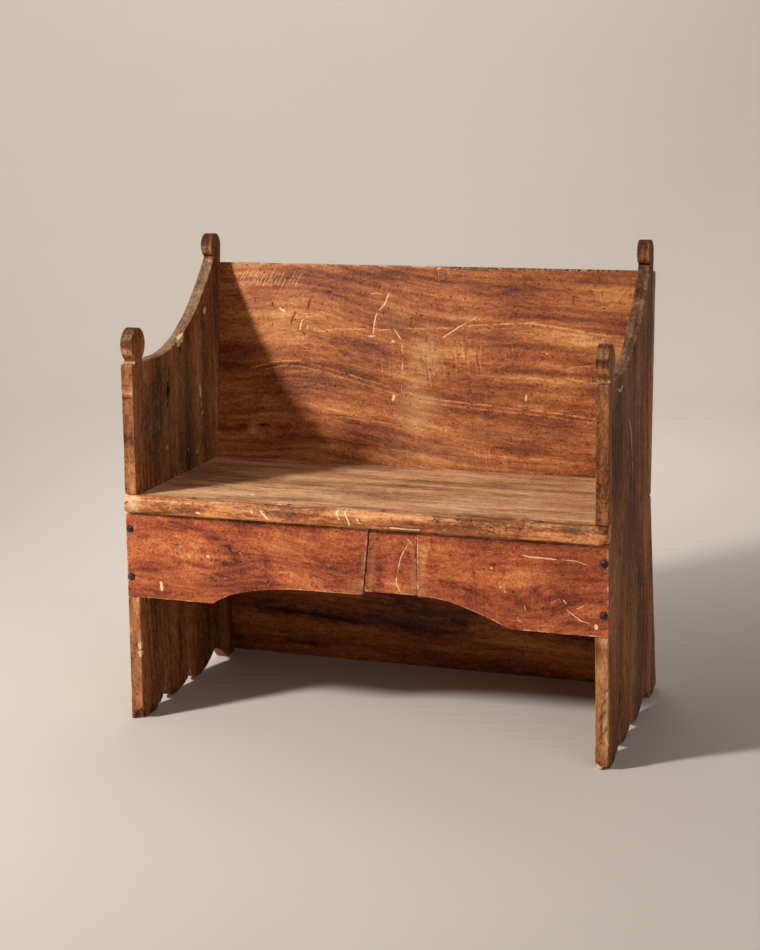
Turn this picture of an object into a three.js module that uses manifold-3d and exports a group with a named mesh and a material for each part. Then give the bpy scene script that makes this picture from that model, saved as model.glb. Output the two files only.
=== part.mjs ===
// A country plank settle for one or two people: two shaped plank ends, a thick seat let into them,
// a three-piece apron with an arched lower edge, and two wide boards nailed on behind as its back.
// Units are millimetres. X runs along the seat, the front faces -Y, and Z is up from the floor.
// Profiles are drawn in depth (0 at the front of the posts, growing backwards) and height.

import * as THREE from "three";
import { mergeVertices } from "three/addons/utils/BufferGeometryUtils.js";
import Module from "manifold-3d";

const wasm = await Module();
wasm.setup();

// Overall sizes
const overallWidth = 950;
const seatHeight = 450;
const backTopHeight = 861;
const postTopHeight = 705;

// Board thicknesses
const endThickness = 25;
const seatThickness = 33;
const apronThickness = 24;
const insertThickness = 21;
const battenThickness = 20;
const upperBackThickness = 24;
const lowerBackThickness = 22;

// Fits between pieces
const jointGap = 0.3;
const seamGap = 0.8;
const cutOverrun = 5;
const weldDistance = 0.001;

// Rear edge of each end: it leans back upwards from the seat's underside and downwards from it too
const kinkDepth = 383;
const reclineDegrees = 5.4;
const splayDegrees = 9.5;

// Seat
const noseOverhang = 12;
const noseTopRadius = 13;
const noseBottomRadius = 6;
const earCornerRadius = 9;
const housingDepth = 8;

// Apron
const apronBottomHeight = 247;
const shoulderInset = 182;
const leftArchRise = 41;
const insertArchRise = 48;
const rightArchRise = 46;
const insertTopLeftOffset = 25;
const insertBottomLeftOffset = 11.5;
const insertRightOffset = 117;
const coveRunShare = 0.604;
const ogeeRunShare = 0.983;
const coveControlShares = [0.24, 0.87];
const ogeeControlShares = [0.26, 1.15, 0.61, 0.65];

// Batten behind the apron's seams
const battenOverlap = 62;
const battenDrop = 12;
const battenLift = 20;

// Front finial and its neck
const frontFinialHalfDepth = 29;
const frontFinialHalfHeight = 32.5;
const frontNeckRise = 3;
const frontNeckHalfWidth = 15;

// Rear finial and the sweep that runs up to it
const rearFinialRadius = 25;
const rearFinialRise = 38;
const sweepStartDepth = 115;
const sweepEndDrop = 24;
const sweepEndSetback = 10;
const sweepControlShares = [0.4, 0, 0.75, 0.485];

// Scalloped lower edge of the ends
const frontFootDepth = 74;
const rearFootDepth = 47;
const cuspDepths = [100, 218, 345];
const cuspHeights = [26, 22, 37];
const frontFootControlShares = [0.6, 0.85, 0.38, 0.23];
const rearFootControlShares = [0.25, 0.06, 0.66, 0.4];
const lobeControlShares = [0.2, 0.6];
const lobeDipShare = -0.08;

// Back boards
const lowerBackClearance = 4;

// Forged nails: each kind's shank length, shank and head radii, head height
const apronNail = { length: 62, shank: 2.4, tip: 0.8, head: 8, rise: 3.6, sunk: false };
const earNail = { length: 52, shank: 2.2, tip: 0.8, head: 4.5, rise: 2, sunk: true };
const housingNail = { length: 66, shank: 2.2, tip: 0.8, head: 4.5, rise: 2, sunk: true };
const seatNail = { length: 80, shank: 2.2, tip: 0.8, head: 4.5, rise: 2, sunk: true };
const backNail = { length: 60, shank: 2.4, tip: 0.8, head: 7.5, rise: 3.2, sunk: false };
const battenNail = { length: 36, shank: 1.9, tip: 0.7, head: 6, rise: 2.6, sunk: false };

// Where the nails go
const frontNailInset = 9;
const apronNailDropShares = [0.2, 0.76];
const earNailDrop = 14;
const housingNailDepths = [58, 292];
const seatNailShares = [-0.74, -0.3, 0.115, 0.44, 0.78];
const upperBackNailShares = [0.1, 0.38, 0.66, 0.92];
const lowerBackNailShares = [0.12, 0.5, 0.84];
const seatRearNailShares = [-0.5, 0, 0.5];
const battenNailShares = [-0.86, 0.18, 0.86];
const battenNailRiseShares = [0.26, 0.74];
const battenNailStagger = 16;

// Where a nail head turns inwards, as shares of its radius and its height
const nailShoulderShares = [0.8, 0.6];

// How finely the curves are drawn
const curveSteps = 20;
const nailSides = 8;

const halfWidth = overallWidth / 2;
const innerHalfWidth = halfWidth - endThickness;
const seatUnderside = seatHeight - seatThickness;
const reclineAngle = THREE.MathUtils.degToRad(reclineDegrees);
const splayAngle = THREE.MathUtils.degToRad(splayDegrees);
const notchDepth = apronThickness + jointGap;
const floorDepth = kinkDepth + seatUnderside * Math.tan(splayAngle);
const rearFinialHeight = backTopHeight + rearFinialRise;
const shoulderOffset = halfWidth - shoulderInset;
const apronTop = seatUnderside - jointGap;

// Finishes, one for each kind of timber surface and one for the iron
const finishes = {
  end: finish(0x6b4226, 0.7),
  seat: finish(0x9a6c42, 0.6),
  apron: finish(0x8a3f20, 0.5),
  insert: finish(0x83401f, 0.55),
  batten: finish(0x6a4a2e, 0.85),
  back: finish(0x8c4a24, 0.5),
  lowerBack: finish(0x5f321b, 0.7),
  iron: new THREE.MeshStandardMaterial({ color: 0x1f1b19, roughness: 0.6, metalness: 0.7 }),
};

function finish(color, roughness) {
  return new THREE.MeshStandardMaterial({ color, roughness, metalness: 0 });
}

// Depth of the ends' rear edge at a height
function rearEdge(height) {
  const rise = height - seatUnderside;
  return rise >= 0 ? kinkDepth + rise * Math.tan(reclineAngle) : kinkDepth - rise * Math.tan(splayAngle);
}

// A closed outline without repeated points, from a path
function outlineOf(path) {
  const points = path.getPoints(curveSteps);
  const kept = points.filter((p, i) => i === 0 || p.distanceTo(points[i - 1]) > weldDistance);
  if (kept[0].distanceTo(kept[kept.length - 1]) <= weldDistance) kept.pop();
  return new THREE.Shape(kept);
}

function extrude(path, depth) {
  return new THREE.ExtrudeGeometry(outlineOf(path), { depth, bevelEnabled: false });
}

// A profile in depth and height, extruded along X from startX
function alongX(path, startX, length) {
  const turn = new THREE.Matrix4().makeBasis(
    new THREE.Vector3(0, 1, 0),
    new THREE.Vector3(0, 0, 1),
    new THREE.Vector3(1, 0, 0),
  );
  return toSolid(extrude(path, length).applyMatrix4(turn).translate(startX, 0, 0));
}

// An outline in X and height, extruded forwards from its back face
function alongDepth(path, backDepth, thickness) {
  const turn = new THREE.Matrix4().makeRotationX(Math.PI / 2);
  return toSolid(extrude(path, thickness).applyMatrix4(turn).translate(0, backDepth, 0));
}

// A plan outline in X and depth, extruded upwards
function alongZ(path, baseHeight, thickness) {
  return toSolid(extrude(path, thickness).translate(0, 0, baseHeight));
}

function block(fromX, toX, fromDepth, toDepth, fromHeight, toHeight) {
  const size = new THREE.Vector3(toX - fromX, toDepth - fromDepth, toHeight - fromHeight);
  const box = new THREE.BoxGeometry(size.x, size.y, size.z);
  box.translate((fromX + toX) / 2, (fromDepth + toDepth) / 2, (fromHeight + toHeight) / 2);
  return toSolid(box);
}

// Closed geometry to a solid that can be joined and cut
function toSolid(geometry) {
  const bare = new THREE.BufferGeometry();
  bare.setAttribute("position", geometry.getAttribute("position"));
  bare.setIndex(geometry.index);
  const merged = mergeVertices(bare, weldDistance);
  return new wasm.Manifold(
    new wasm.Mesh({
      numProp: 3,
      vertProperties: merged.getAttribute("position").array,
      triVerts: new Uint32Array(merged.index.array),
    }),
  );
}

function toGeometry(solid) {
  const mesh = solid.getMesh();
  const geometry = new THREE.BufferGeometry();
  geometry.setAttribute("position", new THREE.BufferAttribute(mesh.vertProperties, mesh.numProp));
  geometry.setIndex(new THREE.BufferAttribute(mesh.triVerts, 1));
  const flat = geometry.toNonIndexed();
  flat.computeVertexNormals();
  return flat;
}

// A nail's profile about its axis, widened by a clearance: the head's underside is at height 0
function nailProfile(kind, clearance) {
  const [shoulderRadius, shoulderRise] = nailShoulderShares;
  return [
    new THREE.Vector2(0, -kind.length - clearance),
    new THREE.Vector2(kind.tip + clearance, -kind.length - clearance),
    new THREE.Vector2(kind.shank + clearance, -clearance),
    new THREE.Vector2(kind.head + clearance, -clearance),
    new THREE.Vector2(kind.head * shoulderRadius + clearance, kind.rise * shoulderRise + clearance),
    new THREE.Vector2(0, kind.rise + clearance),
  ];
}

// The hole of a nail with its head on the surface: the shank alone, carried out past the surface
function shankProfile(kind) {
  return [
    new THREE.Vector2(0, -kind.length - jointGap),
    new THREE.Vector2(kind.tip + jointGap, -kind.length - jointGap),
    new THREE.Vector2(kind.shank + jointGap, 0),
    new THREE.Vector2(kind.shank + jointGap, cutOverrun),
    new THREE.Vector2(0, cutOverrun),
  ];
}

// The pocket of a sunk nail: its head's width carried out past the surface
function pocketProfile(kind) {
  return [
    new THREE.Vector2(0, -jointGap),
    new THREE.Vector2(kind.head + jointGap, -jointGap),
    new THREE.Vector2(kind.head + jointGap, kind.rise + cutOverrun),
    new THREE.Vector2(0, kind.rise + cutOverrun),
  ];
}

const bench = new THREE.Group();
const nails = [];
let nailHoles = null;

// Adds a turned shape to the holes that are cut in the boards
function cut(profile, matrix) {
  const solid = toSolid(new THREE.LatheGeometry(profile, nailSides).applyMatrix4(matrix));
  nailHoles = nailHoles ? nailHoles.add(solid) : solid;
}

// A nail at a point of the surface, with outward pointing away from the timber
function drive(name, kind, point, outward) {
  const mesh = new THREE.Mesh(new THREE.LatheGeometry(nailProfile(kind, 0), nailSides), finishes.iron);
  const seat = kind.sunk ? -kind.rise : jointGap;
  mesh.name = name;
  mesh.position.copy(point).addScaledVector(outward, seat);
  mesh.quaternion.setFromUnitVectors(new THREE.Vector3(0, 1, 0), outward);
  mesh.updateMatrix();
  cut(shankProfile(kind), mesh.matrix);
  if (kind.sunk) cut(pocketProfile(kind), mesh.matrix);
  nails.push(mesh);
}

// A board with its nail holes cut
function addBoard(name, solid, material) {
  const mesh = new THREE.Mesh(toGeometry(solid.subtract(nailHoles)), material);
  mesh.name = name;
  bench.add(mesh);
}

// Directions that nail heads face
const forwards = new THREE.Vector3(0, -1, 0);
const backwards = new THREE.Vector3(0, 1, 0);
const upwards = new THREE.Vector3(0, 0, 1);

// Normals of the two back boards' rear faces
const upperNormal = new THREE.Vector3(0, Math.cos(reclineAngle), -Math.sin(reclineAngle));
const lowerNormal = new THREE.Vector3(0, Math.cos(splayAngle), Math.sin(splayAngle));

// A point on a back board's rear face, at a height of its front face
function onRearFace(x, height, normal, thickness) {
  const base = new THREE.Vector3(x, rearEdge(height), height);
  return base.addScaledVector(normal, thickness + jointGap);
}

// Every nail is driven before the boards are made, so that its hole can be cut in each of them
function driveNails() {
  const apronHeight = seatUnderside - apronBottomHeight;
  for (const [side, sign] of [["left", -1], ["right", 1]]) {
    const frontX = sign * (halfWidth - frontNailInset);
    const middleX = sign * (halfWidth - endThickness / 2);
    apronNailDropShares.forEach((share, i) => {
      const point = new THREE.Vector3(frontX, 0, seatUnderside - share * apronHeight);
      drive(`${side}_apron_nail_${i + 1}`, apronNail, point, forwards);
    });
    const earPoint = new THREE.Vector3(frontX, -noseOverhang, seatHeight - earNailDrop);
    drive(`${side}_ear_nail`, earNail, earPoint, forwards);
    housingNailDepths.forEach((depth, i) => {
      const point = new THREE.Vector3(sign * halfWidth, depth, seatHeight - seatThickness / 2);
      drive(`${side}_seat_nail_${i + 1}`, housingNail, point, new THREE.Vector3(sign, 0, 0));
    });
    upperBackNailShares.forEach((share, i) => {
      const height = seatUnderside + share * (backTopHeight - seatUnderside);
      const point = onRearFace(middleX, height, upperNormal, upperBackThickness);
      drive(`${side}_upper_back_nail_${i + 1}`, backNail, point, upperNormal);
    });
    lowerBackNailShares.forEach((share, i) => {
      const height = seatUnderside * (1 - share);
      const point = onRearFace(middleX, height, lowerNormal, lowerBackThickness);
      drive(`${side}_lower_back_nail_${i + 1}`, backNail, point, lowerNormal);
    });
  }
  seatNailShares.forEach((share, i) => {
    const point = new THREE.Vector3(share * innerHalfWidth, apronThickness / 2, seatHeight);
    drive(`seat_top_nail_${i + 1}`, seatNail, point, upwards);
  });
  seatRearNailShares.forEach((share, i) => {
    const height = seatHeight - seatThickness / 2;
    const point = onRearFace(share * innerHalfWidth, height, upperNormal, upperBackThickness);
    drive(`seat_rear_nail_${i + 1}`, backNail, point, upperNormal);
  });
  const batten = battenSize();
  battenNailShares.forEach((share, i) => {
    battenNailRiseShares.forEach((rise, j) => {
      const sideways = j === 0 ? -battenNailStagger / 2 : battenNailStagger / 2;
      const x = batten.middle + share * (batten.half - battenNail.head) + sideways;
      const point = new THREE.Vector3(x, batten.back, batten.bottom + rise * (batten.top - batten.bottom));
      drive(`batten_nail_${i + 1}_${j + 1}`, battenNail, point, backwards);
    });
  });
}

// Place and size of the batten, which spans the insert and its two seams
function battenSize() {
  const left = insertBottomLeftOffset - battenOverlap;
  const right = insertRightOffset + battenOverlap;
  const top = seatUnderside - battenDrop;
  return {
    left,
    right,
    middle: (left + right) / 2,
    half: (right - left) / 2,
    top,
    bottom: apronBottomHeight + insertArchRise + battenLift,
    front: apronThickness + jointGap,
    back: apronThickness + jointGap + battenThickness,
  };
}

// A cubic curve to a point, with its two controls as shares of the run and the rise
function easeTo(path, from, to, shares) {
  const run = to.x - from.x;
  const rise = to.y - from.y;
  path.bezierCurveTo(
    from.x + run * shares[0],
    from.y + rise * shares[1],
    from.x + run * shares[2],
    from.y + rise * shares[3],
    to.x,
    to.y,
  );
}

// A lobe of the lower edge between two cusps, hanging down nearly to the floor
function lobeTo(path, from, to) {
  const run = to.x - from.x;
  path.bezierCurveTo(
    from.x + run * lobeControlShares[0],
    from.y * lobeDipShare,
    from.x + run * lobeControlShares[1],
    to.y * lobeDipShare,
    to.x,
    to.y,
  );
}

// Outline of an end in depth and height
function endProfile() {
  const path = new THREE.Path();
  const [frontCusp, middleCusp, rearCusp] = cuspDepths.map((d, i) => new THREE.Vector2(d, cuspHeights[i]));
  const frontFoot = new THREE.Vector2(frontFootDepth, 0);
  const rearFoot = new THREE.Vector2(floorDepth - rearFootDepth, 0);

  // Up the rear edge, over the top and down the front edge with its notch
  path.moveTo(floorDepth, 0);
  path.lineTo(kinkDepth, seatUnderside);
  rearFinialPath(path);
  sweepPath(path);
  frontFinialPath(path);
  path.lineTo(0, postTopHeight);
  path.lineTo(0, seatHeight + jointGap);
  path.lineTo(notchDepth, seatHeight + jointGap);
  path.lineTo(notchDepth, apronBottomHeight - jointGap);
  path.lineTo(0, apronBottomHeight - jointGap);
  path.lineTo(0, 0);

  // Back along the scalloped lower edge
  path.lineTo(frontFoot.x, 0);
  easeTo(path, frontFoot, frontCusp, frontFootControlShares);
  lobeTo(path, frontCusp, middleCusp);
  lobeTo(path, middleCusp, rearCusp);
  easeTo(path, rearCusp, rearFoot, rearFootControlShares);
  path.lineTo(floorDepth, 0);
  return path;
}

// Up the reclined rear edge and round the rear finial to its neck
function rearFinialPath(path) {
  const centre = rearFinialCentre();
  const neck = sweepEnd();
  const neckAngle = Math.atan2(neck.y - centre.y, neck.x - centre.x);
  path.absarc(centre.x, centre.y, rearFinialRadius, -reclineAngle, neckAngle, false);
}

function rearFinialCentre() {
  const depth = rearEdge(rearFinialHeight) - rearFinialRadius / Math.cos(reclineAngle);
  return new THREE.Vector2(depth, rearFinialHeight);
}

// Where the sweep meets the rear finial's underside
function sweepEnd() {
  const centre = rearFinialCentre();
  return new THREE.Vector2(centre.x - sweepEndSetback, centre.y - sweepEndDrop);
}

// Down the sweep to the flat behind the front finial
function sweepPath(path) {
  const top = sweepEnd();
  const start = new THREE.Vector2(sweepStartDepth, postTopHeight);
  const run = top.x - start.x;
  const rise = top.y - start.y;
  const [nearRun, nearRise, farRun, farRise] = sweepControlShares;
  path.bezierCurveTo(
    start.x + run * farRun,
    start.y + rise * farRise,
    start.x + run * nearRun,
    start.y + rise * nearRise,
    start.x,
    start.y,
  );
}

// Round the front finial, from the back of its neck over the top to the front
function frontFinialPath(path) {
  const halfDepth = frontFinialHalfDepth;
  const halfHeight = frontFinialHalfHeight;
  const centreHeight = postTopHeight + frontNeckRise + halfHeight;
  const neckAngle = Math.acos(frontNeckHalfWidth / halfDepth);
  path.lineTo(halfDepth + frontNeckHalfWidth, postTopHeight);
  path.absellipse(halfDepth, centreHeight, halfDepth, halfHeight, -neckAngle, Math.PI + neckAngle, false);
  path.lineTo(halfDepth - frontNeckHalfWidth, postTopHeight);
}

// The two ends, each with a housing for the seat in its inner face
function addEnds() {
  for (const [name, start] of [["left_end", -halfWidth], ["right_end", innerHalfWidth]]) {
    const plank = alongX(endProfile(), start, endThickness);
    const inner = start < 0 ? -innerHalfWidth : innerHalfWidth;
    const reach = start < 0 ? -housingDepth - jointGap : housingDepth + jointGap;
    const housing = block(
      Math.min(inner - Math.sign(reach) * cutOverrun, inner + reach),
      Math.max(inner - Math.sign(reach) * cutOverrun, inner + reach),
      0,
      rearEdge(seatHeight) + cutOverrun,
      seatUnderside - jointGap,
      seatHeight + jointGap,
    );
    addBoard(name, plank.subtract(housing), finishes.end);
  }
}

// Profile of the seat in depth and height, with its worn, rounded nose
function seatProfile() {
  const path = new THREE.Path();
  const nose = -noseOverhang;
  path.moveTo(kinkDepth - jointGap, seatUnderside);
  path.lineTo(rearEdge(seatHeight) - jointGap, seatHeight);
  path.lineTo(nose + noseTopRadius, seatHeight);
  path.absarc(nose + noseTopRadius, seatHeight - noseTopRadius, noseTopRadius, Math.PI / 2, Math.PI, false);
  path.absarc(
    nose + noseBottomRadius,
    seatUnderside + noseBottomRadius,
    noseBottomRadius,
    Math.PI,
    Math.PI * 1.5,
    false,
  );
  path.lineTo(kinkDepth - jointGap, seatUnderside);
  return path;
}

// Plan of the seat: full width at its ears, then narrowed to run into the housings
function seatPlan() {
  const path = new THREE.Path();
  const housed = innerHalfWidth + housingDepth;
  const rear = rearEdge(seatHeight) + cutOverrun;
  const front = -noseOverhang - cutOverrun;
  const corner = -noseOverhang + earCornerRadius;
  path.moveTo(housed, apronThickness);
  path.lineTo(housed, rear);
  path.lineTo(-housed, rear);
  path.lineTo(-housed, apronThickness);
  path.lineTo(-halfWidth, apronThickness);
  path.lineTo(-halfWidth, corner);
  path.absarc(-halfWidth + earCornerRadius, corner, earCornerRadius, Math.PI, Math.PI * 1.5, false);
  path.lineTo(-halfWidth + earCornerRadius, front);
  path.lineTo(halfWidth - earCornerRadius, front);
  path.lineTo(halfWidth - earCornerRadius, -noseOverhang);
  path.absarc(halfWidth - earCornerRadius, corner, earCornerRadius, -Math.PI / 2, 0, false);
  path.lineTo(halfWidth, apronThickness);
  path.lineTo(housed, apronThickness);
  return path;
}

// The seat, cut to its plan from a plank with a rounded nose
function addSeat() {
  const plank = alongX(seatProfile(), -halfWidth, overallWidth);
  const plan = alongZ(seatPlan(), seatUnderside - cutOverrun, seatThickness + 2 * cutOverrun);
  addBoard("seat", plank.intersect(plan), finishes.seat);
}

// Left board of the apron: a cove runs up from its lower edge to the arch, and its seam slants
function addApronLeft() {
  const half = seamGap / 2;
  const left = new THREE.Path();
  const archLeft = apronBottomHeight + leftArchRise;
  const coveLength = (shoulderOffset + insertBottomLeftOffset) * coveRunShare;
  left.moveTo(-halfWidth, apronBottomHeight);
  left.lineTo(-shoulderOffset, apronBottomHeight);
  left.quadraticCurveTo(
    -shoulderOffset + coveLength * coveControlShares[0],
    apronBottomHeight + leftArchRise * coveControlShares[1],
    -shoulderOffset + coveLength,
    archLeft,
  );
  left.lineTo(insertBottomLeftOffset - half, archLeft);
  left.lineTo(insertTopLeftOffset - half, apronTop);
  left.lineTo(-halfWidth, apronTop);
  left.lineTo(-halfWidth, apronBottomHeight);
  addBoard("apron_left", alongDepth(left, apronThickness, apronThickness), finishes.apron);
}

// Narrow middle board of the apron, thinner than its neighbours and cut a little higher
function addApronInsert() {
  const half = seamGap / 2;
  const insert = new THREE.Path();
  const archInsert = apronBottomHeight + insertArchRise;
  insert.moveTo(insertBottomLeftOffset + half, archInsert);
  insert.lineTo(insertRightOffset - half, archInsert);
  insert.lineTo(insertRightOffset - half, apronTop);
  insert.lineTo(insertTopLeftOffset + half, apronTop);
  insert.lineTo(insertBottomLeftOffset + half, archInsert);
  addBoard("apron_insert", alongDepth(insert, apronThickness, insertThickness), finishes.insert);
}

// Right board of the apron: its arch ends in an ogee
function addApronRight() {
  const half = seamGap / 2;
  const right = new THREE.Path();
  const ogeeLength = (shoulderOffset - insertRightOffset) * ogeeRunShare;
  const crown = new THREE.Vector2(shoulderOffset - ogeeLength, apronBottomHeight + rightArchRise);
  const shoulder = new THREE.Vector2(shoulderOffset, apronBottomHeight);
  const [nearRun, nearRise, farRun, farRise] = ogeeControlShares;
  right.moveTo(insertRightOffset + half, crown.y);
  right.lineTo(crown.x, crown.y);
  right.bezierCurveTo(
    crown.x + ogeeLength * nearRun,
    shoulder.y + rightArchRise * nearRise,
    crown.x + ogeeLength * farRun,
    shoulder.y + rightArchRise * farRise,
    shoulder.x,
    shoulder.y,
  );
  right.lineTo(halfWidth, apronBottomHeight);
  right.lineTo(halfWidth, apronTop);
  right.lineTo(insertRightOffset + half, apronTop);
  right.lineTo(insertRightOffset + half, crown.y);
  addBoard("apron_right", alongDepth(right, apronThickness, apronThickness), finishes.apron);
}

// The batten nailed across the seams at the back of the apron
function addBatten() {
  const b = battenSize();
  addBoard("apron_batten", block(b.left, b.right, b.front, b.back, b.bottom, b.top), finishes.batten);
}

// Upper board on the reclined edges, its lower edge planed level to meet the lower board
function addUpperBack() {
  const front = jointGap / Math.cos(reclineAngle);
  const rear = (jointGap + upperBackThickness) / Math.cos(reclineAngle);
  const base = seatUnderside + jointGap / 2;
  const path = new THREE.Path();
  path.moveTo(rearEdge(base) + front, base);
  path.lineTo(rearEdge(base) + rear, base);
  path.lineTo(
    rearEdge(backTopHeight) + front + upperBackThickness * Math.cos(reclineAngle),
    backTopHeight - upperBackThickness * Math.sin(reclineAngle),
  );
  path.lineTo(rearEdge(backTopHeight) + front, backTopHeight);
  path.lineTo(rearEdge(base) + front, base);
  addBoard("upper_back", alongX(path, -halfWidth, overallWidth), finishes.back);
}

// Lower board on the splayed edges, stopping short of the floor
function addLowerBack() {
  const path = lowerBackPath();
  addBoard("lower_back", alongX(path, -halfWidth, overallWidth), finishes.lowerBack);
}

function lowerBackPath() {
  const front = jointGap / Math.cos(splayAngle);
  const rear = (jointGap + lowerBackThickness) / Math.cos(splayAngle);
  const top = seatUnderside - jointGap / 2;
  const path = new THREE.Path();
  path.moveTo(rearEdge(lowerBackClearance) + front, lowerBackClearance);
  path.lineTo(rearEdge(lowerBackClearance) + rear, lowerBackClearance);
  path.lineTo(rearEdge(top) + rear, top);
  path.lineTo(rearEdge(top) + front, top);
  path.lineTo(rearEdge(lowerBackClearance) + front, lowerBackClearance);
  return path;
}

driveNails();
addEnds();
addSeat();
addApronLeft();
addApronInsert();
addApronRight();
addBatten();
addUpperBack();
addLowerBack();
bench.add(...nails);

// The frame's origin lies under the middle of the bench, on the floor
const frontReach = -noseOverhang;
const rearReach = rearEdge(lowerBackClearance) + (jointGap + lowerBackThickness) / Math.cos(splayAngle);
bench.position.y = -(frontReach + rearReach) / 2;

export default bench;
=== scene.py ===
"""Dresses a country plank bench: nine worn boards, the forged nails that hold them, and a plain studio.

Every board is a closed mesh with softened arrises, real wormholes, shakes, dents and scratches. Its mesh
carries the run of its grain and its wear as attributes, and one timber finish reads them.
"""

import logging
import math
from dataclasses import dataclass, field
from enum import Enum
from functools import partial
from typing import Any, Callable, Sequence

import bpy
import numpy as np
from mathutils import Matrix, Vector
from mathutils.geometry import delaunay_2d_cdt
from mathutils.kdtree import KDTree


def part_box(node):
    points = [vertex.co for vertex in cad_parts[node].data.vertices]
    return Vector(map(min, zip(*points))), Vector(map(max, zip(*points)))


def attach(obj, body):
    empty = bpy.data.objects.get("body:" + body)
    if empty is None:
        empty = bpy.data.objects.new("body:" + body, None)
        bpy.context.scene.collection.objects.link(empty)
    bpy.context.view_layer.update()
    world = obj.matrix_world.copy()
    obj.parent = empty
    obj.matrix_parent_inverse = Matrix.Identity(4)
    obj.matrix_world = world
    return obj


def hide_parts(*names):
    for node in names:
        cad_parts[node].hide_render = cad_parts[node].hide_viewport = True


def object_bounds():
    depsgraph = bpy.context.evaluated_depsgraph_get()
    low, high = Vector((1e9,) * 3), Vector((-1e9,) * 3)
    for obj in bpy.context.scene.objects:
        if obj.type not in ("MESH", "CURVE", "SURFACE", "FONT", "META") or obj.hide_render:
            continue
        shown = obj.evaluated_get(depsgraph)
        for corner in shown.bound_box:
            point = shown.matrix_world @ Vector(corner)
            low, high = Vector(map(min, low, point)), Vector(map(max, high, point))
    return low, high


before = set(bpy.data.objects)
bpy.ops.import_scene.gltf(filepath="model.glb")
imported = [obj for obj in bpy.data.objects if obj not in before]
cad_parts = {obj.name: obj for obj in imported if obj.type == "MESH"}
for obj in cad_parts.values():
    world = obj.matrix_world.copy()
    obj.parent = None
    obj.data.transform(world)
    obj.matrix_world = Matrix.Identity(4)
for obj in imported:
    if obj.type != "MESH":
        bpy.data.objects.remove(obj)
CAD_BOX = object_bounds()

log = logging.getLogger("bench")

Array = np.ndarray
Piece = bpy.types.Object
Place = tuple[float, float]
Spot = tuple[float, float, float]
Colour = tuple[float, float, float]
Window = tuple[Place, Place, float]

MM = 0.001
FULL_TURN = 2.0 * math.pi
QUARTER_TURN = 0.5 * math.pi
BODY = "root"


class Tone(Enum):
    """What a mark or a patch does to the timber's colour."""

    SCAR = "scar"
    SHADE = "shade"
    DUST = "dust"
    WARM = "warm"
    SCRAPE = "scrape"


class Side(Enum):
    """The two broad faces of a board, and the edge between them."""

    FRONT = 1
    EDGE = 0
    BACK = -1


SCAR, SHADE, DUST, WARM, SCRAPE = Tone
FRONT, EDGE, BACK = Side
Tones = dict[Tone, Array]


# Plain geometry


def ease(values: Array, low: float, high: float) -> Array:
    """Smooth step from 0 at low to 1 at high."""
    t = np.clip((np.asarray(values, float) - low) / (high - low), 0, 1)
    return t * t * (3 - 2 * t)


def ripple(places: Array, wavelength: float, seed: int, waves: int = 9) -> Array:
    """Smooth seeded variation over places.

    Args:
        places: Rows of coordinates, in millimetres.
        wavelength: Typical distance from crest to crest, in millimetres.
        seed: Seed of the wave directions and phases.
        waves: Number of sine waves that are summed.

    Returns:
        One value from -1 to 1 for each row.
    """
    rng = np.random.default_rng(seed)
    places = np.atleast_2d(places)
    total = np.zeros(len(places))
    for _ in range(waves):
        heading = rng.normal(size=places.shape[1])
        heading *= FULL_TURN / (wavelength * rng.uniform(0.6, 1.7) * np.linalg.norm(heading))
        total += np.sin(places @ heading + rng.uniform(0, FULL_TURN))
    return np.clip(total / math.sqrt(waves) / 1.5, -1, 1)


def unit(vectors: Array) -> Array:
    """Rows scaled to length 1."""
    return vectors / np.maximum(np.linalg.norm(vectors, axis=1, keepdims=True), 1e-9)


def signed_area(loop: Array) -> float:
    """Area of a loop, positive when it runs anticlockwise."""
    x, y = loop.T
    return 0.5 * float(np.sum(x * np.roll(y, -1) - np.roll(x, -1) * y))


def inward(loop: Array) -> Array:
    """Inward normals of an anticlockwise loop, lengthened at its corners.

    Args:
        loop: Its points, anticlockwise.

    Returns:
        One normal for each point.
    """
    along = unit(np.roll(loop, -1, axis=0) - loop)
    left = np.column_stack([-along[:, 1], along[:, 0]])
    before = np.roll(left, 1, axis=0)
    middle = unit(left + before)
    return middle / np.maximum(np.sum(middle * left, axis=1), 0.62)[:, None]


def distance_to(places: Array, path: Array, closed: bool = True) -> Array:
    """Distance from each place to a path, within half a millimetre.

    Args:
        places: Rows on the plane.
        path: Its corners.
        closed: Whether it runs back to its start.

    Returns:
        The distances.
    """
    starts, ends = (path, np.roll(path, -1, axis=0)) if closed else (path[:-1], path[1:])
    counts = np.ceil(np.linalg.norm(ends - starts, axis=1)).astype(int) + 1
    share = np.concatenate([np.arange(count) / count for count in counts])[:, None]
    stops = np.repeat(starts, counts, axis=0) * (1 - share) + np.repeat(ends, counts, axis=0) * share
    tree = KDTree(len(stops))
    for number, (x, y) in enumerate(stops):
        tree.insert((x, y, 0), number)
    tree.balance()
    return np.array([tree.find((x, y, 0))[2] for x, y in places])


def inside(places: Array, loop: Array) -> Array:
    """Tells which places lie inside a loop.

    Args:
        places: Rows on the plane.
        loop: Its points.

    Returns:
        True for each place inside.
    """
    x1, y1 = loop.T
    x2, y2 = np.roll(loop, -1, axis=0).T
    odd = np.zeros(len(places), bool)
    for at in range(0, len(places), 1500):
        x, y = places[at : at + 1500, 0, None], places[at : at + 1500, 1, None]
        straddles = (y1 > y) != (y2 > y)
        rise = np.where(y2 == y1, 1, y2 - y1)
        crossing = x < (x2 - x1) * (y - y1) / rise + x1
        odd[at : at + 1500] = np.sum(straddles & crossing, axis=1) % 2 == 1
    return odd


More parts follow.
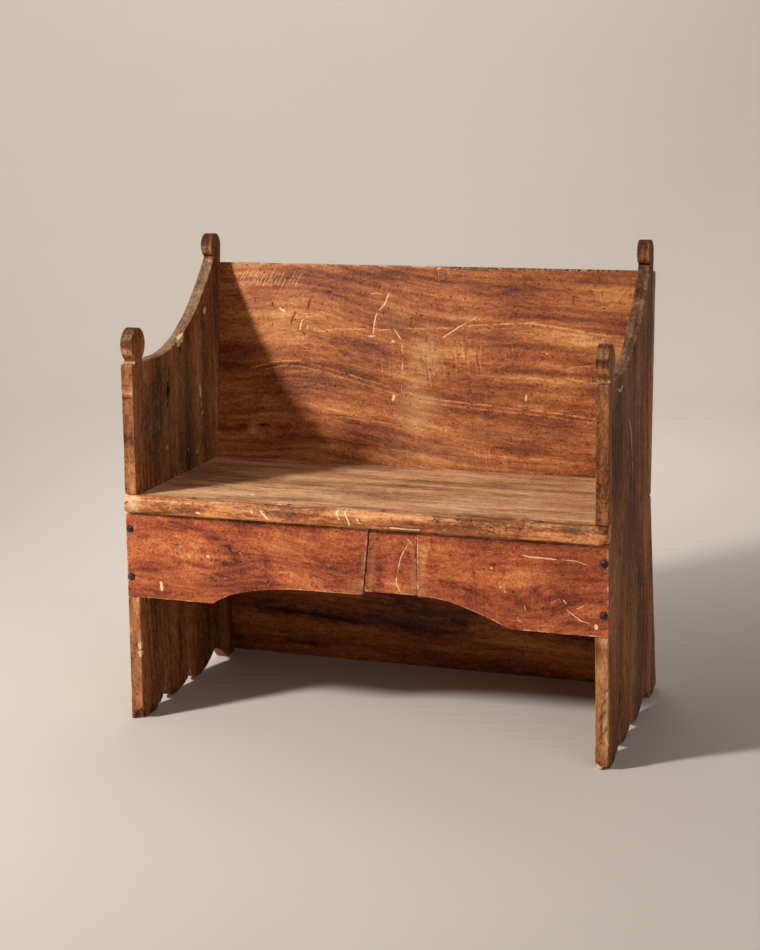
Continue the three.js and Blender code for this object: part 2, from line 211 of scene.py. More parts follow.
def fair(loop: Array, step: float, fine: Sequence[Window] = ()) -> Array:
    """Redraws a faceted outline as smooth curves between its true corners.

    Args:
        loop: Corners of the outline, anticlockwise.
        step: Greatest distance between the new points.
        fine: Rectangles with a smaller distance of their own.

    Returns:
        The new outline, with its sharp corners eased.
    """
    span = np.roll(loop, -1, axis=0) - loop
    length = np.linalg.norm(span, axis=1)
    heading = span / length[:, None]
    before, length_before = np.roll(heading, 1, axis=0), np.roll(length, 1)
    turn = np.degrees(np.arccos(np.clip(np.sum(heading * before, axis=1), -1, 1)))
    corner = (turn > 30) | ((turn > 8) & (np.maximum(length, length_before) > 100))
    tangent = unit(before * length_before[:, None] + heading * length[:, None])
    points = []
    for i, start in enumerate(loop):
        j = (i + 1) % len(loop)
        leave = heading[i] if corner[i] else tangent[i]
        arrive = heading[i] if corner[j] else tangent[j]
        for s in stations(start, loop[j], step, fine):
            points.append(
                (2 * s**3 - 3 * s**2 + 1) * start
                + (s**3 - 2 * s**2 + s) * length[i] * leave
                + (3 * s**2 - 2 * s**3) * loop[j]
                + (s**3 - s**2) * length[i] * arrive
            )
    smooth = np.array(points)
    return 0.25 * np.roll(smooth, 1, axis=0) + 0.5 * smooth + 0.25 * np.roll(smooth, -1, axis=0)


def stations(start: Array, end: Array, step: float, fine: Sequence[Window]) -> list[float]:
    """Stations on a straight way, closer together inside the fine rectangles.

    Args:
        start: Where the way starts.
        end: Where it ends.
        step: Greatest distance.
        fine: Rectangles with a smaller one.

    Returns:
        Their shares of the way.
    """
    length = float(np.linalg.norm(end - start))
    shares, at = [], 0
    while at < length - 0.35 * step:
        shares.append(at / length)
        x, y = start + (end - start) * at / length
        steps = [s for low, high, s in fine if low[0] <= x <= high[0] and low[1] <= y <= high[1]]
        at += min([step, *steps])
    return shares


def outline_of(node: str, axis: int, high: bool, plane: tuple[int, int]) -> Array:
    """Reads the outer edge of a flat side of a packed board.

    Args:
        node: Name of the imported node.
        axis: Axis that the side is square to.
        high: Whether it is the side with the highest coordinate.
        plane: The two axes that the outline is drawn on.

    Returns:
        The corners of its longest edge loop in millimetres, anticlockwise.
    """
    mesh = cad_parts[node].data
    mesh.calc_loop_triangles()
    corners = np.array([v.co for v in mesh.vertices]) / MM
    triangles = corners[np.array([t.vertices[:] for t in mesh.loop_triangles])]
    level = triangles[:, :, axis].max() if high else triangles[:, :, axis].min()
    flat = triangles[np.all(np.abs(triangles[:, :, axis] - level) < 0.02, axis=1)]
    flat = np.round(flat[:, :, list(plane)], 2)
    edges = {(tuple(t[k]), tuple(t[(k + 1) % 3])) for t in flat for k in range(3)}
    onward = {a: b for a, b in edges if (b, a) not in edges}
    longest: list[Place] = []
    while onward:
        first, point = onward.popitem()
        loop = [first]
        while point != first:
            loop.append(point)
            point = onward.pop(point)
        longest = max(longest, loop, key=len)
    outline = np.array(longest)
    return outline if signed_area(outline) > 0 else outline[::-1]


def rectangle(low: Place, high: Place) -> Array:
    """Corners of an upright rectangle, anticlockwise."""
    return np.array([low, (high[0], low[1]), high, (low[0], high[1])], float)


# Marks in a board's surface


@dataclass(frozen=True)
class Stroke:
    """A scratch, dent or shake: a groove along a path of the surface.

    Its sizes are in millimetres, on the board's own face.
    """

    path: tuple[Place, ...]
    width: float
    depth: float
    tone: Tone
    strength: float
    side: Side = FRONT

    def spine(self) -> Array:
        """The path with a point every few millimetres, and a slight waver.

        Returns:
            Its points.
        """
        corners = np.array(self.path, float)
        points = [corners[0]]
        for a, b in zip(corners[:-1], corners[1:]):
            count = round(np.linalg.norm(b - a) / max(3, 0.6 * self.width))
            count = max(1 + 4 // (len(corners) - 1), count)
            points += [a + (b - a) * k / count for k in range(1, count + 1)]
        line = np.array(points)
        waver = np.column_stack([ripple(line, 9, 11), ripple(line, 9, 12)])
        line[1:-1] += waver[1:-1] * min(0.6, 0.25 * self.width)
        return line

    def rim(self, share: float = 1.0) -> Array:
        """The closed edge of the groove, tapered at both ends.

        Args:
            share: How far out towards the edge.

        Returns:
            Its points, anticlockwise.
        """
        line = self.spine()
        along = unit(np.gradient(line, axis=0))
        across = np.column_stack([-along[:, 1], along[:, 0]])
        taper = np.linspace(-1, 1, len(line))
        half = 0.5 * self.width * share * np.maximum(1 - taper**2, 0) ** 0.4
        half *= 1 + 0.3 * ripple(line, 7, 13)
        sides = line + across * half[:, None], line - across * half[:, None]
        ends = (line[:1], line[-1:]) if share == 1 else (line[:0], line[:0])
        return np.vstack([ends[0], sides[1][1:-1], ends[1], sides[0][1:-1][::-1]])

    def carve(self, sheet: "Sheet") -> None:
        """Adds its edge, its sunk floor and its spine to a sheet.

        Args:
            sheet: The face that it is cut in.
        """
        sheet.close(sheet.add(self.rim(), 0, self.tone, 0.25 * self.strength))
        if self.width > 4.2:
            sheet.add(self.rim(0.55), self.depth, self.tone, self.strength)
        sheet.join(sheet.add(self.spine()[1:-1], self.depth, self.tone, self.strength))


@dataclass(frozen=True)
class Bore:
    """A wormhole, or the recess of a sunk nail, which has a flat floor."""

    centre: Place
    radius: float
    depth: float
    flat: bool = False
    corners: int = 6
    side: Side = FRONT
    strength: float = 1.0

    def rim(self, inset: float = 0.0) -> Array:
        """Points round the centre."""
        turn = np.arange(self.corners) / self.corners * FULL_TURN + self.centre[0]
        return np.array(self.centre) + (self.radius - inset) * np.column_stack([np.cos(turn), np.sin(turn)])

    def spine(self) -> Array:
        """Its centre, as a row."""
        return np.array([self.centre])

    def carve(self, sheet: "Sheet") -> None:
        """Adds its edge and its sunk floor to a sheet.

        Args:
            sheet: The face that it is cut in.
        """
        sheet.close(sheet.add(self.rim(), 0, SHADE, 0.35 * self.strength))
        if self.flat:
            sheet.close(sheet.add(self.rim(0.4), self.depth, SHADE, self.strength))
        sheet.add(self.spine(), self.depth, SHADE, self.strength)


@dataclass(frozen=True)
class Patch:
    """A soft-edged area of another tone, painted on the mesh."""

    tone: Tone
    centre: Place
    reach: Place
    strength: float
    degrees: float = 0.0
    side: Side | None = None
    core: float = 0.1

    def weight(self, places: Array) -> Array:
        """How strongly it marks each place.

        Args:
            places: Rows on the face.

        Returns:
            The weights.
        """
        turn = math.radians(self.degrees)
        away = places - np.array(self.centre)
        along = away[:, 0] * math.cos(turn) + away[:, 1] * math.sin(turn)
        across = away[:, 1] * math.cos(turn) - away[:, 0] * math.sin(turn)
        far = np.hypot(along / self.reach[0], across / self.reach[1])
        far *= 1 + 0.3 * ripple(places, 0.8 * min(self.reach) + 8, 21)
        return self.strength * (1 - ease(far, self.core, 1.15))


@dataclass(frozen=True)
class Bite:
    """A chip out of an arris, round a point given across the face and through the board."""

    centre: Spot
    radius: float
    depth: float
    tone: Tone
    strength: float


@dataclass(frozen=True)
class Knot:
    """A place that the grain runs round."""

    centre: Place
    reach: Place
    lift: float


@dataclass
class Figure:
    """The run of the grain over a board: its slope, its waves and its knots."""

    sway: float
    seed: int
    upright: bool = False
    wavelength: float = 520.0
    knots: tuple[Knot, ...] = ()
    path: tuple[Place, ...] = ()

    def place(self, local: Array) -> Array:
        """Grain coordinates of places on the board.

        Args:
            local: Rows across the face and through the board, in millimetres.

        Returns:
            Rows along the grain, across it and through it, in metres.
        """
        along, across = (local[:, 1], local[:, 0]) if self.upright else (local[:, 0], local[:, 1])
        slow = np.column_stack([along, across * 0.6])
        lift = self.sway * ripple(slow, self.wavelength, self.seed, 5)
        if self.path:
            at, rise = np.array(self.path, float).T
            spread = np.linspace(-70, 70, 15)
            lift = lift - np.mean([np.interp(along + d, at, rise) for d in spread], axis=0)
        for knot in self.knots:
            du = (along - knot.centre[0]) / knot.reach[0]
            dv = (across - knot.centre[1]) / knot.reach[1]
            lift = lift - knot.lift * dv * np.exp(-du * du - dv * dv)
        return np.column_stack([along, across + lift, local[:, 2]]) * MM


class Sheet:
    """One broad face of a board, gathered as points and edges and then cut into triangles."""

    def __init__(self, rim: Array) -> None:
        """Starts a sheet.

        Args:
            rim: The ring that bounds it.
        """
        self.places: list[Place] = []
        self.drops: list[float] = []
        self.tones: list[tuple[Tone | None, float]] = []
        self.edges: list[tuple[int, int]] = []
        self.rim = self.add(rim)

    def add(self, places: Array, drop: float = 0, tone: Tone | None = None, strength: float = 0) -> range:
        """Adds points with one drop below the face and one tone.

        Args:
            places: Rows on the face.
            drop: How far they lie under the face.
            tone: The tone that they carry.
            strength: How strongly they carry it.

        Returns:
            The numbers of the new points.
        """
        first = len(self.places)
        self.places += [(float(x), float(y)) for x, y in places]
        self.drops += [drop] * len(places)
        self.tones += [(tone, strength)] * len(places)
        return range(first, len(self.places))

    def close(self, ids: range) -> None:
        """Joins points into a ring that the triangles keep."""
        self.edges += [(i, ids[(k + 1) % len(ids)]) for k, i in enumerate(ids)]

    def join(self, ids: range) -> None:
        """Joins points into an open line that the triangles keep."""
        self.edges += list(zip(ids[:-1], ids[1:]))

    def cut(self) -> tuple[Array, Array, Array, Tones, dict[int, int]]:
        """Triangulates the sheet inside its outer ring.

        Returns:
            The places, the anticlockwise triangles, the drops, the tones, and the points' new numbers.
        """
        points = [Vector(p) for p in self.places]
        out, _, faces, sources, _, _ = delaunay_2d_cdt(points, self.edges, [list(self.rim)], 1, 1e-5)
        places = np.array([tuple(v) for v in out])
        triangles = np.array([f[:] for f in faces if len(f) == 3])
        a, b, c = (places[triangles[:, k]] for k in range(3))
        turned = np.cross(b - a, c - a) < 0
        triangles[turned] = triangles[turned][:, ::-1]
        drops = np.zeros(len(places))
        tones = {tone: np.zeros(len(places)) for tone in Tone}
        renumbered: dict[int, int] = {}
        for new, old in enumerate(sources):
            for i in old:
                renumbered[i] = new
                drops[new] = max(drops[new], self.drops[i])
                tone, strength = self.tones[i]
                if tone:
                    tones[tone][new] = max(tones[tone][new], strength)
        return places, triangles, drops, tones, renumbered


@dataclass
class Wear:
    """The marks of one board, gathered from tables whose places share one shift."""

    shift: Place = (0.0, 0.0)
    strokes: list[Stroke] = field(default_factory=list)
    bores: list[Bore] = field(default_factory=list)
    patches: list[Patch] = field(default_factory=list)
    bites: list[Bite] = field(default_factory=list)

    def lay(self, table: Sequence[tuple]) -> None:
        """Adds a table of marks, whose rows name one of the methods below and what it takes."""
        for method, *rest in table:
            method(self, *rest)

    def cut(self, tone: Tone, side: Side, *rows: tuple[float, ...]) -> None:
        """Adds strokes.

        Args:
            tone: Their tone.
            side: The face that they are in.
            rows: Each stroke's width, depth and strength, and then its path as x and y by turns.
        """
        dx, dy = self.shift
        for width, depth, strength, *path in rows:
            places = tuple((x + dx, y + dy) for x, y in zip(path[::2], path[1::2]))
            self.strokes.append(Stroke(places, width, depth, tone, strength, side))

    def daub(self, tone: Tone, side: Side | None, *rows: tuple[float, ...]) -> None:
        """Adds patches.

        Args:
            tone: Their tone.
            side: The surface that they are on, or None for all.
            rows: Each patch's x, y, reach along and across, strength and, where it is turned, its degrees.
        """
        dx, dy = self.shift
        for x, y, along, across, strength, *turned in rows:
            self.patches.append(Patch(tone, (x + dx, y + dy), (along, across), strength, *turned, side=side))

    def chip(self, tone: Tone, *rows: tuple[float, ...]) -> None:
        """Adds chips.

        Args:
            tone: Their tone.
            rows: Each chip's x, y, level, radius, depth and strength.
        """
        dx, dy = self.shift
        for x, y, z, radius, depth, strength in rows:
            self.bites.append(Bite((x + dx, y + dy, z), radius, depth, tone, strength))


@dataclass
class Plank:
    """One board, from its outline, its thickness and its wear.

    The outline lies in the board's own plane. Places go across the face, up the face and through the board,
    with 0 halfway through, and axes turns them into the bench's frame. All sizes are in millimetres.
    """

    name: str
    outline: Array
    thickness: float
    origin: Vector
    axes: tuple[Vector, Vector, Vector]
    figure: Figure
    wear: Wear
    seed: int
    arris: float = 1.6
    arris_at: Callable[[Array, Side], Array] | None = None
    bend: Callable[[Array], Array] | None = None
    paint: Callable[[Array, Tones], None] | None = None
    waviness: float = 0.7
    wobble: float = 0.35
    step: float = 4.5
    fine: Sequence[Window] = ()
    layer: float = 5.5
    lumps: float = 0.35
    pitch: dict[Side, float] = field(default_factory=lambda: {FRONT: 6.5, BACK: 10.0})
    arc_steps: int = 3
    halo: float = 3.2
    halo_gap: float = 2.7
    mark_gap: float = 1.1
    spread_gap: float = 2.2
    crease: float = 50.0

    def arris_radii(self, loop: Array, side: Side) -> Array:
        """Radius of the worn arris along the outline.

        Args:
            loop: The outline.
            side: The face that it belongs to.

        Returns:
            One radius for each point.
        """
        base = np.full(len(loop), self.arris) if self.arris_at is None else self.arris_at(loop, side)
        lumps = ripple(loop, 60, self.seed + 3) + 0.5 * ripple(loop, 14, self.seed + 4)
        return np.minimum(base * (1 + self.lumps * lumps), 0.45 * self.thickness)

    def rings(self, loop: Array) -> tuple[Array, Array]:
        """The rings round the edge, from the front face's rim to the back face's.

        Args:
            loop: The outline.

        Returns:
            The rings by points by three, and each ring's nearness to an arris from 0 to 1.
        """
        normal, half = inward(loop), 0.5 * self.thickness
        front, back = (self.arris_radii(loop, side) for side in (FRONT, BACK))
        turns = np.linspace(0, QUARTER_TURN, self.arc_steps + 1)
        arc = [(1 - math.sin(t), 1 - math.cos(t), math.sin(2 * t) ** 0.5) for t in turns]
        rows = [(front * inset, half - front * drop, near) for inset, drop, near in arc]
        count = max(2, round(self.thickness / self.layer))
        for share in np.arange(1, count) / count:
            rows.append((np.zeros(len(loop)), (half - front) * (1 - share) + (back - half) * share, 0))
        rows += [(back * inset, back * drop - half, near) for inset, drop, near in arc[::-1]]
        rings = [np.column_stack([loop + normal * inset[:, None], level]) for inset, level, _ in rows]
        return np.array(rings), np.array([near for _, _, near in rows])

    def lattice(self, rim: Array, marks: list[Array], side: Side) -> Array:
        """Points spread over a face, clear of its rim and of the marks.

        Args:
            rim: The ring that bounds the face.
            marks: Points of the marks.
            side: Which face it is.

        Returns:
            The points.
        """
        pitch = self.pitch[side]
        rng = np.random.default_rng(self.seed + 7)
        low, high = rim.min(axis=0), rim.max(axis=0)
        columns = np.arange(low[0], high[0], pitch)
        rows = np.arange(low[1], high[1], pitch * 0.87)
        grid = np.array([(x + (k % 2) * pitch / 2, y) for k, y in enumerate(rows) for x in columns])
        grid += rng.uniform(-0.16, 0.16, grid.shape) * pitch
        grid = grid[inside(grid, rim)]
        grid = grid[distance_to(grid, rim) > 0.8 * pitch]
        if marks:
            grid = grid[distance_to(grid, np.vstack(marks), closed=False) > self.spread_gap]
        return grid

    def face(self, rim: Array, side: Side) -> tuple[Array, Array, Tones, Array]:
        """Cuts one broad face into triangles, with its marks in it.

        Args:
            rim: The ring that bounds the face.
            side: Which face it is.

        Returns:
            The sunk places, the triangles, the tones, and the new numbers of the rim's points.
        """
        sheet = Sheet(rim)
        halo = (rim + inward(rim) * self.halo)[::2]
        sheet.add(halo[(distance_to(halo, rim) > self.halo_gap) & inside(halo, rim)])
        marks: list[Array] = []
        for mark in (m for m in (*self.wear.strokes, *self.wear.bores) if m.side is side):
            edge = mark.rim()
            taken = np.vstack([rim, *marks])
            near = np.linalg.norm(edge[:, None] - taken[np.newaxis], axis=2).min()
            if np.all(inside(edge, rim)) and near > self.mark_gap:
                mark.carve(sheet)
                marks.append(np.vstack([edge, mark.spine()]))
            elif isinstance(mark, Stroke):
                log.info("%s: the stroke at %s meets another mark and is left out", self.name, mark.path[0])
        sheet.add(self.lattice(rim, marks, side))
        places, triangles, drops, tones, renumbered = sheet.cut()
        level = side.value * (0.5 * self.thickness - drops)
        if side is BACK:
            triangles = triangles[:, ::-1]
        edge = np.array([renumbered[i] for i in sheet.rim])
        return np.column_stack([places, level]), triangles, tones, edge

    def relief(self, local: Array, loop: Array, wear: Array, tones: Tones) -> Array:
        """Hollows the faces, wavers the edge and takes the chips out, always inwards.

        Args:
            local: Places on the board.
            loop: The outline.
            wear: Nearness of each place to an arris; not used.
            tones: The tones, which the chips change.

        Returns:
            The moved places.
        """
        front, back = (ripple(local[:, :2], 170, self.seed + k) for k in (1, 2))
        hollow = 0.5 + 0.5 * np.where(local[:, 2] > 0, front, back)
        moved = local.copy()
        moved[:, 2] *= 1 - self.waviness * hollow / (0.5 * self.thickness)
        normals = inward(loop)
        for bite in self.wear.bites:
            centre = np.array(bite.centre)
            away = local - centre
            far = np.linalg.norm(away, axis=1) * (1 + 0.25 * ripple(local, 5, self.seed + 5))
            share = np.clip(1 - (far / bite.radius) ** 2, 0, 1)
            nearest = np.argmin(np.sum((loop - centre[:2]) ** 2, axis=1))
            core = loop[nearest] + normals[nearest] * 20
            pull = np.append(core - centre[:2], -np.sign(centre[2]) * abs(centre[2]) * 0.9)
            moved += (share * bite.depth)[:, None] * pull / np.linalg.norm(pull)
            tones[bite.tone] = np.maximum(tones[bite.tone], bite.strength * ease(share, 0.05, 0.5))
        return moved

    def build(self) -> Piece:
        """Makes the board as one closed mesh with its grain and wear attributes.

        Returns:
            The object, at the bench's origin.
        """
        loop = fair(self.outline, self.step, self.fine)
        waver = self.wobble * (0.5 + 0.5 * ripple(loop, 45, self.seed + 6))
        loop = loop + inward(loop) * waver[:, None]
        rings, ring_wear = self.rings(loop)
        count = len(loop)
        front, front_faces, front_tones, front_edge = self.face(rings[0][:, :2], FRONT)
        back, back_faces, back_tones, back_edge = self.face(rings[-1][:, :2], BACK)
        front[front_edge] = rings[0]
        back[back_edge] = rings[-1]
        middle = rings[1:-1].reshape(-1, 3)
        local = np.vstack([front, back, middle])
        tones = {t: np.concatenate([front_tones[t], back_tones[t], np.zeros(len(middle))]) for t in Tone}
        edge_gap = distance_to(local[: len(front) + len(back), :2], loop)
        wear = np.concatenate([1 - ease(edge_gap, 0.5, 7), np.repeat(ring_wear[1:-1], count)])
        first_middle = len(front) + len(back)
        ids = np.arange(len(middle)).reshape(-1, count) + first_middle
        ids = np.vstack([front_edge, ids, back_edge + len(front)])
        ahead = np.roll(ids, -1, axis=1)
        quads = np.stack([ids[:-1], ids[1:], ahead[1:], ahead[:-1]], axis=-1).reshape(-1, 4)
        grain = self.figure.place(local)
        for patch in self.wear.patches:
            weight = patch.weight(local[:, :2])
            if patch.side is EDGE:
                weight = weight * (np.abs(local[:, 2]) < 0.46 * self.thickness)
            elif patch.side is not None:
                weight = weight * (local[:, 2] * patch.side.value > 0.3 * self.thickness)
            tones[patch.tone] = np.maximum(tones[patch.tone], weight)
        if self.paint is not None:
            self.paint(local, tones)
        local = self.relief(local, loop, wear, tones)
        if self.bend is not None:
            local = self.bend(local)
        turn = np.array([tuple(axis) for axis in self.axes])
        world = (np.array(tuple(self.origin)) + local @ turn) * MM
        faces = front_faces.tolist() + (back_faces + len(front)).tolist() + quads.tolist()
        piece = new_piece(self.name, world, faces)
        give(piece, "grain", grain)
        give(piece, "arris", wear)
        for tone in Tone:
            give(piece, tone.value, np.clip(tones[tone], 0, 1))
        piece.data.set_sharp_from_angle(angle=math.radians(self.crease))
        log.info("%s: %d faces", self.name, len(faces))
        return piece


def new_piece(name: str, places: Array, faces: list[list[int]]) -> Piece:
    """A mesh object at the origin, with smooth shading.

    Args:
        name: Its name.
        places: Its corners, in metres.
        faces: The corners of each face.

    Returns:
        The object.
    """
    mesh = bpy.data.meshes.new(name)
    mesh.from_pydata(places.tolist(), [], faces)
    mesh.shade_smooth()
    mesh.update()
    piece = bpy.data.objects.new(name, mesh)
    bpy.context.scene.collection.objects.link(piece)
    return piece


def lay(tones: Tones, *rows: tuple[Tone, Array, Array | float]) -> None:
    """Lays tones over parts of a board: each row's tone, where it lies and its strength."""
    for tone, where, weight in rows:
        tones[tone] = np.maximum(tones[tone], np.where(where, weight, 0))


def give(piece: Piece, name: str, values: Array) -> None:
    """Writes numbers or vectors on a piece's vertices.

    Args:
        piece: The piece.
        name: The attribute's name.
        values: A number or row for each vertex.
    """
    vector = values.ndim == 2
    attribute = piece.data.attributes.new(name, "FLOAT_VECTOR" if vector else "FLOAT", "POINT")
    attribute.data.foreach_set("vector" if vector else "value", values.astype(np.float32).ravel())


def wormholes(seed: int, count: int, low: Place, high: Place, side: Side = FRONT) -> list[Bore]:
    """Wormholes scattered in loose clusters over a rectangle of a face.

    Args:
        seed: Seed of the scatter.
        count: How many to try.
        low: Lowest corner.
        high: Highest corner.
        side: The face.

    Returns:
        The holes.
    """
    rng = np.random.default_rng(seed)
    centres = rng.uniform(low, high, (max(3, count // 5), 2))
    holes: list[Bore] = []
    for _ in range(count):
        near = centres[rng.integers(len(centres))] + rng.normal(0, 26, 2)
        place = near if rng.uniform() < 0.65 else rng.uniform(low, high)
        if all(math.dist(place, h.centre) > 5 for h in holes) and np.all((place > low) & (place < high)):
            holes.append(Bore((float(place[0]), float(place[1])), rng.uniform(0.7, 1.35), 3.5, side=side))
    return holes


def recess(centre: Place, strength: float, side: Side = FRONT) -> Bore:
    """The recess of a sunk nail."""
    return Bore(centre, 5.2, 2.4, flat=True, corners=14, side=side, strength=strength)


# Materials


class Signal:
    """One output of a node tree, with arithmetic that adds Math nodes."""

    def __init__(self, tree: "Tree", socket: bpy.types.NodeSocket) -> None:
        """Wraps a socket of a tree."""
        self.tree, self.socket = tree, socket

    def other(self, key: str | int) -> "Signal":
        """Another output of the same node."""
        return Signal(self.tree, Tree.find(self.socket.node.outputs, key))

    def math(self, operation: str, *values: "Signal | float", clamp: bool = False) -> "Signal":
        """The output of a new Math node that works on signals or numbers."""
        inputs = dict(zip(("Value", "Value_001"), values))
        return self.tree.node("ShaderNodeMath", {"operation": operation, "use_clamp": clamp}, **inputs)

    def __add__(self, other: "Signal | float") -> "Signal":
        """Sum."""
        return self.math("ADD", self, other)

    def __radd__(self, other: float) -> "Signal":
        """Sum with a number in front."""
        return self.math("ADD", other, self)

    def __sub__(self, other: "Signal | float") -> "Signal":
        """Difference."""
        return self.math("SUBTRACT", self, other)

    def __rsub__(self, other: float) -> "Signal":
        """Difference from a number."""
        return self.math("SUBTRACT", other, self)

    def __mul__(self, other: "Signal | float") -> "Signal":
        """Product."""
        return self.math("MULTIPLY", self, other)

    def __rmul__(self, other: float) -> "Signal":
        """Product with a number in front."""
        return self.math("MULTIPLY", other, self)

    def __pow__(self, other: float) -> "Signal":
        """Power."""
        return self.math("POWER", self, other)

    def clamp(self) -> "Signal":
        """The value held from 0 to 1."""
        return self.math("ADD", self, 0, clamp=True)

    def __truediv__(self, other: "Signal | float") -> "Signal":
        """Quotient."""
        return self.math("DIVIDE", self, other)

    def fraction(self) -> "Signal":
        """The part after the decimal point."""
        return self.math("FRACT", self)

    def above(self, low: float, high: float) -> "Signal":
        """A smooth step from 0 at low to 1 at high."""
        t = ((self - low) * (1 / (high - low))).clamp()
        return t * t * (3 - 2 * t)


class Tree:
    """A node tree being wired, and the one way to add a node to it."""

    def __init__(self, tree: bpy.types.NodeTree) -> None:
        """Takes a tree to wire."""
        self.tree = tree

    def node(
        self, kind: str, settings: dict[str, Any] | None = None, out: str | int = 0, **inputs: Any
    ) -> Signal:
        """Adds a node.

        Args:
            kind: The node's type.
            settings: Its settings, set first.
            out: Name, identifier or number of the output to return.
            inputs: Values or signals by input name or identifier, with _ for a space, or a list of signals.

        Returns:
            The chosen output.
        """
        node = self.tree.nodes.new(kind)
        for key, value in (settings or {}).items():
            setattr(node, key, value)
        for key, value in inputs.items():
            entry = self.find(node.inputs, key)
            for part in value if isinstance(value, list) else [value]:
                if isinstance(part, Signal):
                    self.tree.links.new(part.socket, entry)
                else:
                    entry.default_value = part
        return Signal(self, self.find(node.outputs, out))

    def end(self, kind: str, last: Signal) -> None:
        """Joins the last signal to a new output node of the tree."""
        self.tree.links.new(last.socket, self.tree.nodes.new(kind).inputs[0])

    @staticmethod
    def find(sockets: Any, key: str | int) -> bpy.types.NodeSocket:
        """The socket with an identifier, a name or a number.

        Args:
            sockets: A node's inputs or outputs.
            key: What to look for, with _ for a space.

        Returns:
            The socket.
        """
        if isinstance(key, int):
            return sockets[key]
        named = {socket.identifier: socket for socket in sockets}
        return named.get(key) or sockets[key.replace("_", " ")]

    def vector(self, x: Signal | float, y: Signal | float, z: Signal | float) -> Signal:
        """A vector from three numbers."""
        return self.node("ShaderNodeCombineXYZ", X=x, Y=y, Z=z)


class Palette(Tree):
    """A material being mixed."""

    def __init__(self, name: str) -> None:
        """Starts an empty material.

        Args:
            name: Its name.
        """
        self.material = bpy.data.materials.new(name)
        self.material.use_nodes = True
        super().__init__(self.material.node_tree)
        self.tree.nodes.clear()

    def number(self, name: str) -> Signal:
        """A number that the mesh carries."""
        return self.node("ShaderNodeAttribute", {"attribute_name": name}, "Fac")

    def noise(self, place: Signal, scale: float = 1.0, detail: float = 2.0, rough: float = 0.5) -> Signal:
        """Noise from 0 to 1 at a place."""
        kind = "ShaderNodeTexNoise"
        return self.node(kind, None, "Fac", Vector=place, Scale=scale, Detail=detail, Roughness=rough)

    def split(self, vector: Signal) -> tuple[Signal, Signal, Signal]:
        """The three numbers of a vector."""
        first = self.node("ShaderNodeSeparateXYZ", Vector=vector)
        return first, first.other(1), first.other(2)

    def blend(self, share: Signal | float, first: Signal | Colour, second: Signal | Colour) -> Signal:
        """A colour between two colours.

        Args:
            share: How much of the second.
            first: The colour at 0.
            second: The colour at 1.

        Returns:
            The mixed colour.
        """
        a, b = (colour if isinstance(colour, Signal) else (*colour, 1) for colour in (first, second))
        inputs = {"Factor_Float": share, "A_Color": a, "B_Color": b}
        return self.node("ShaderNodeMix", {"data_type": "RGBA"}, "Result_Color", **inputs)

    def ramp(self, share: Signal, places: Sequence[float], colours: Sequence[Colour]) -> Signal:
        """A colour picked from a row of colours.

        Args:
            share: Place along the row.
            places: Each colour's place, from 0 to 1.
            colours: The colours.

        Returns:
            The colour.
        """
        picked = self.node("ShaderNodeValToRGB", Fac=share)
        elements = picked.socket.node.color_ramp.elements
        for _ in range(len(places) - len(elements)):
            elements.new(1)
        for element, place, colour in zip(elements, places, colours):
            element.position = place
            element.color = (*colour, 1)
        return picked

    def bump(self, height: Signal, strength: float, distance: float) -> Signal:
        """The surface's normal, raised by a height."""
        return self.node("ShaderNodeBump", Strength=strength, Distance=distance, Height=height)

    def finish(self, **inputs: Any) -> bpy.types.Material:
        """The finished material, from the inputs of its Principled shader."""
        self.end("ShaderNodeOutputMaterial", self.node("ShaderNodeBsdfPrincipled", None, "BSDF", **inputs))
        return self.material


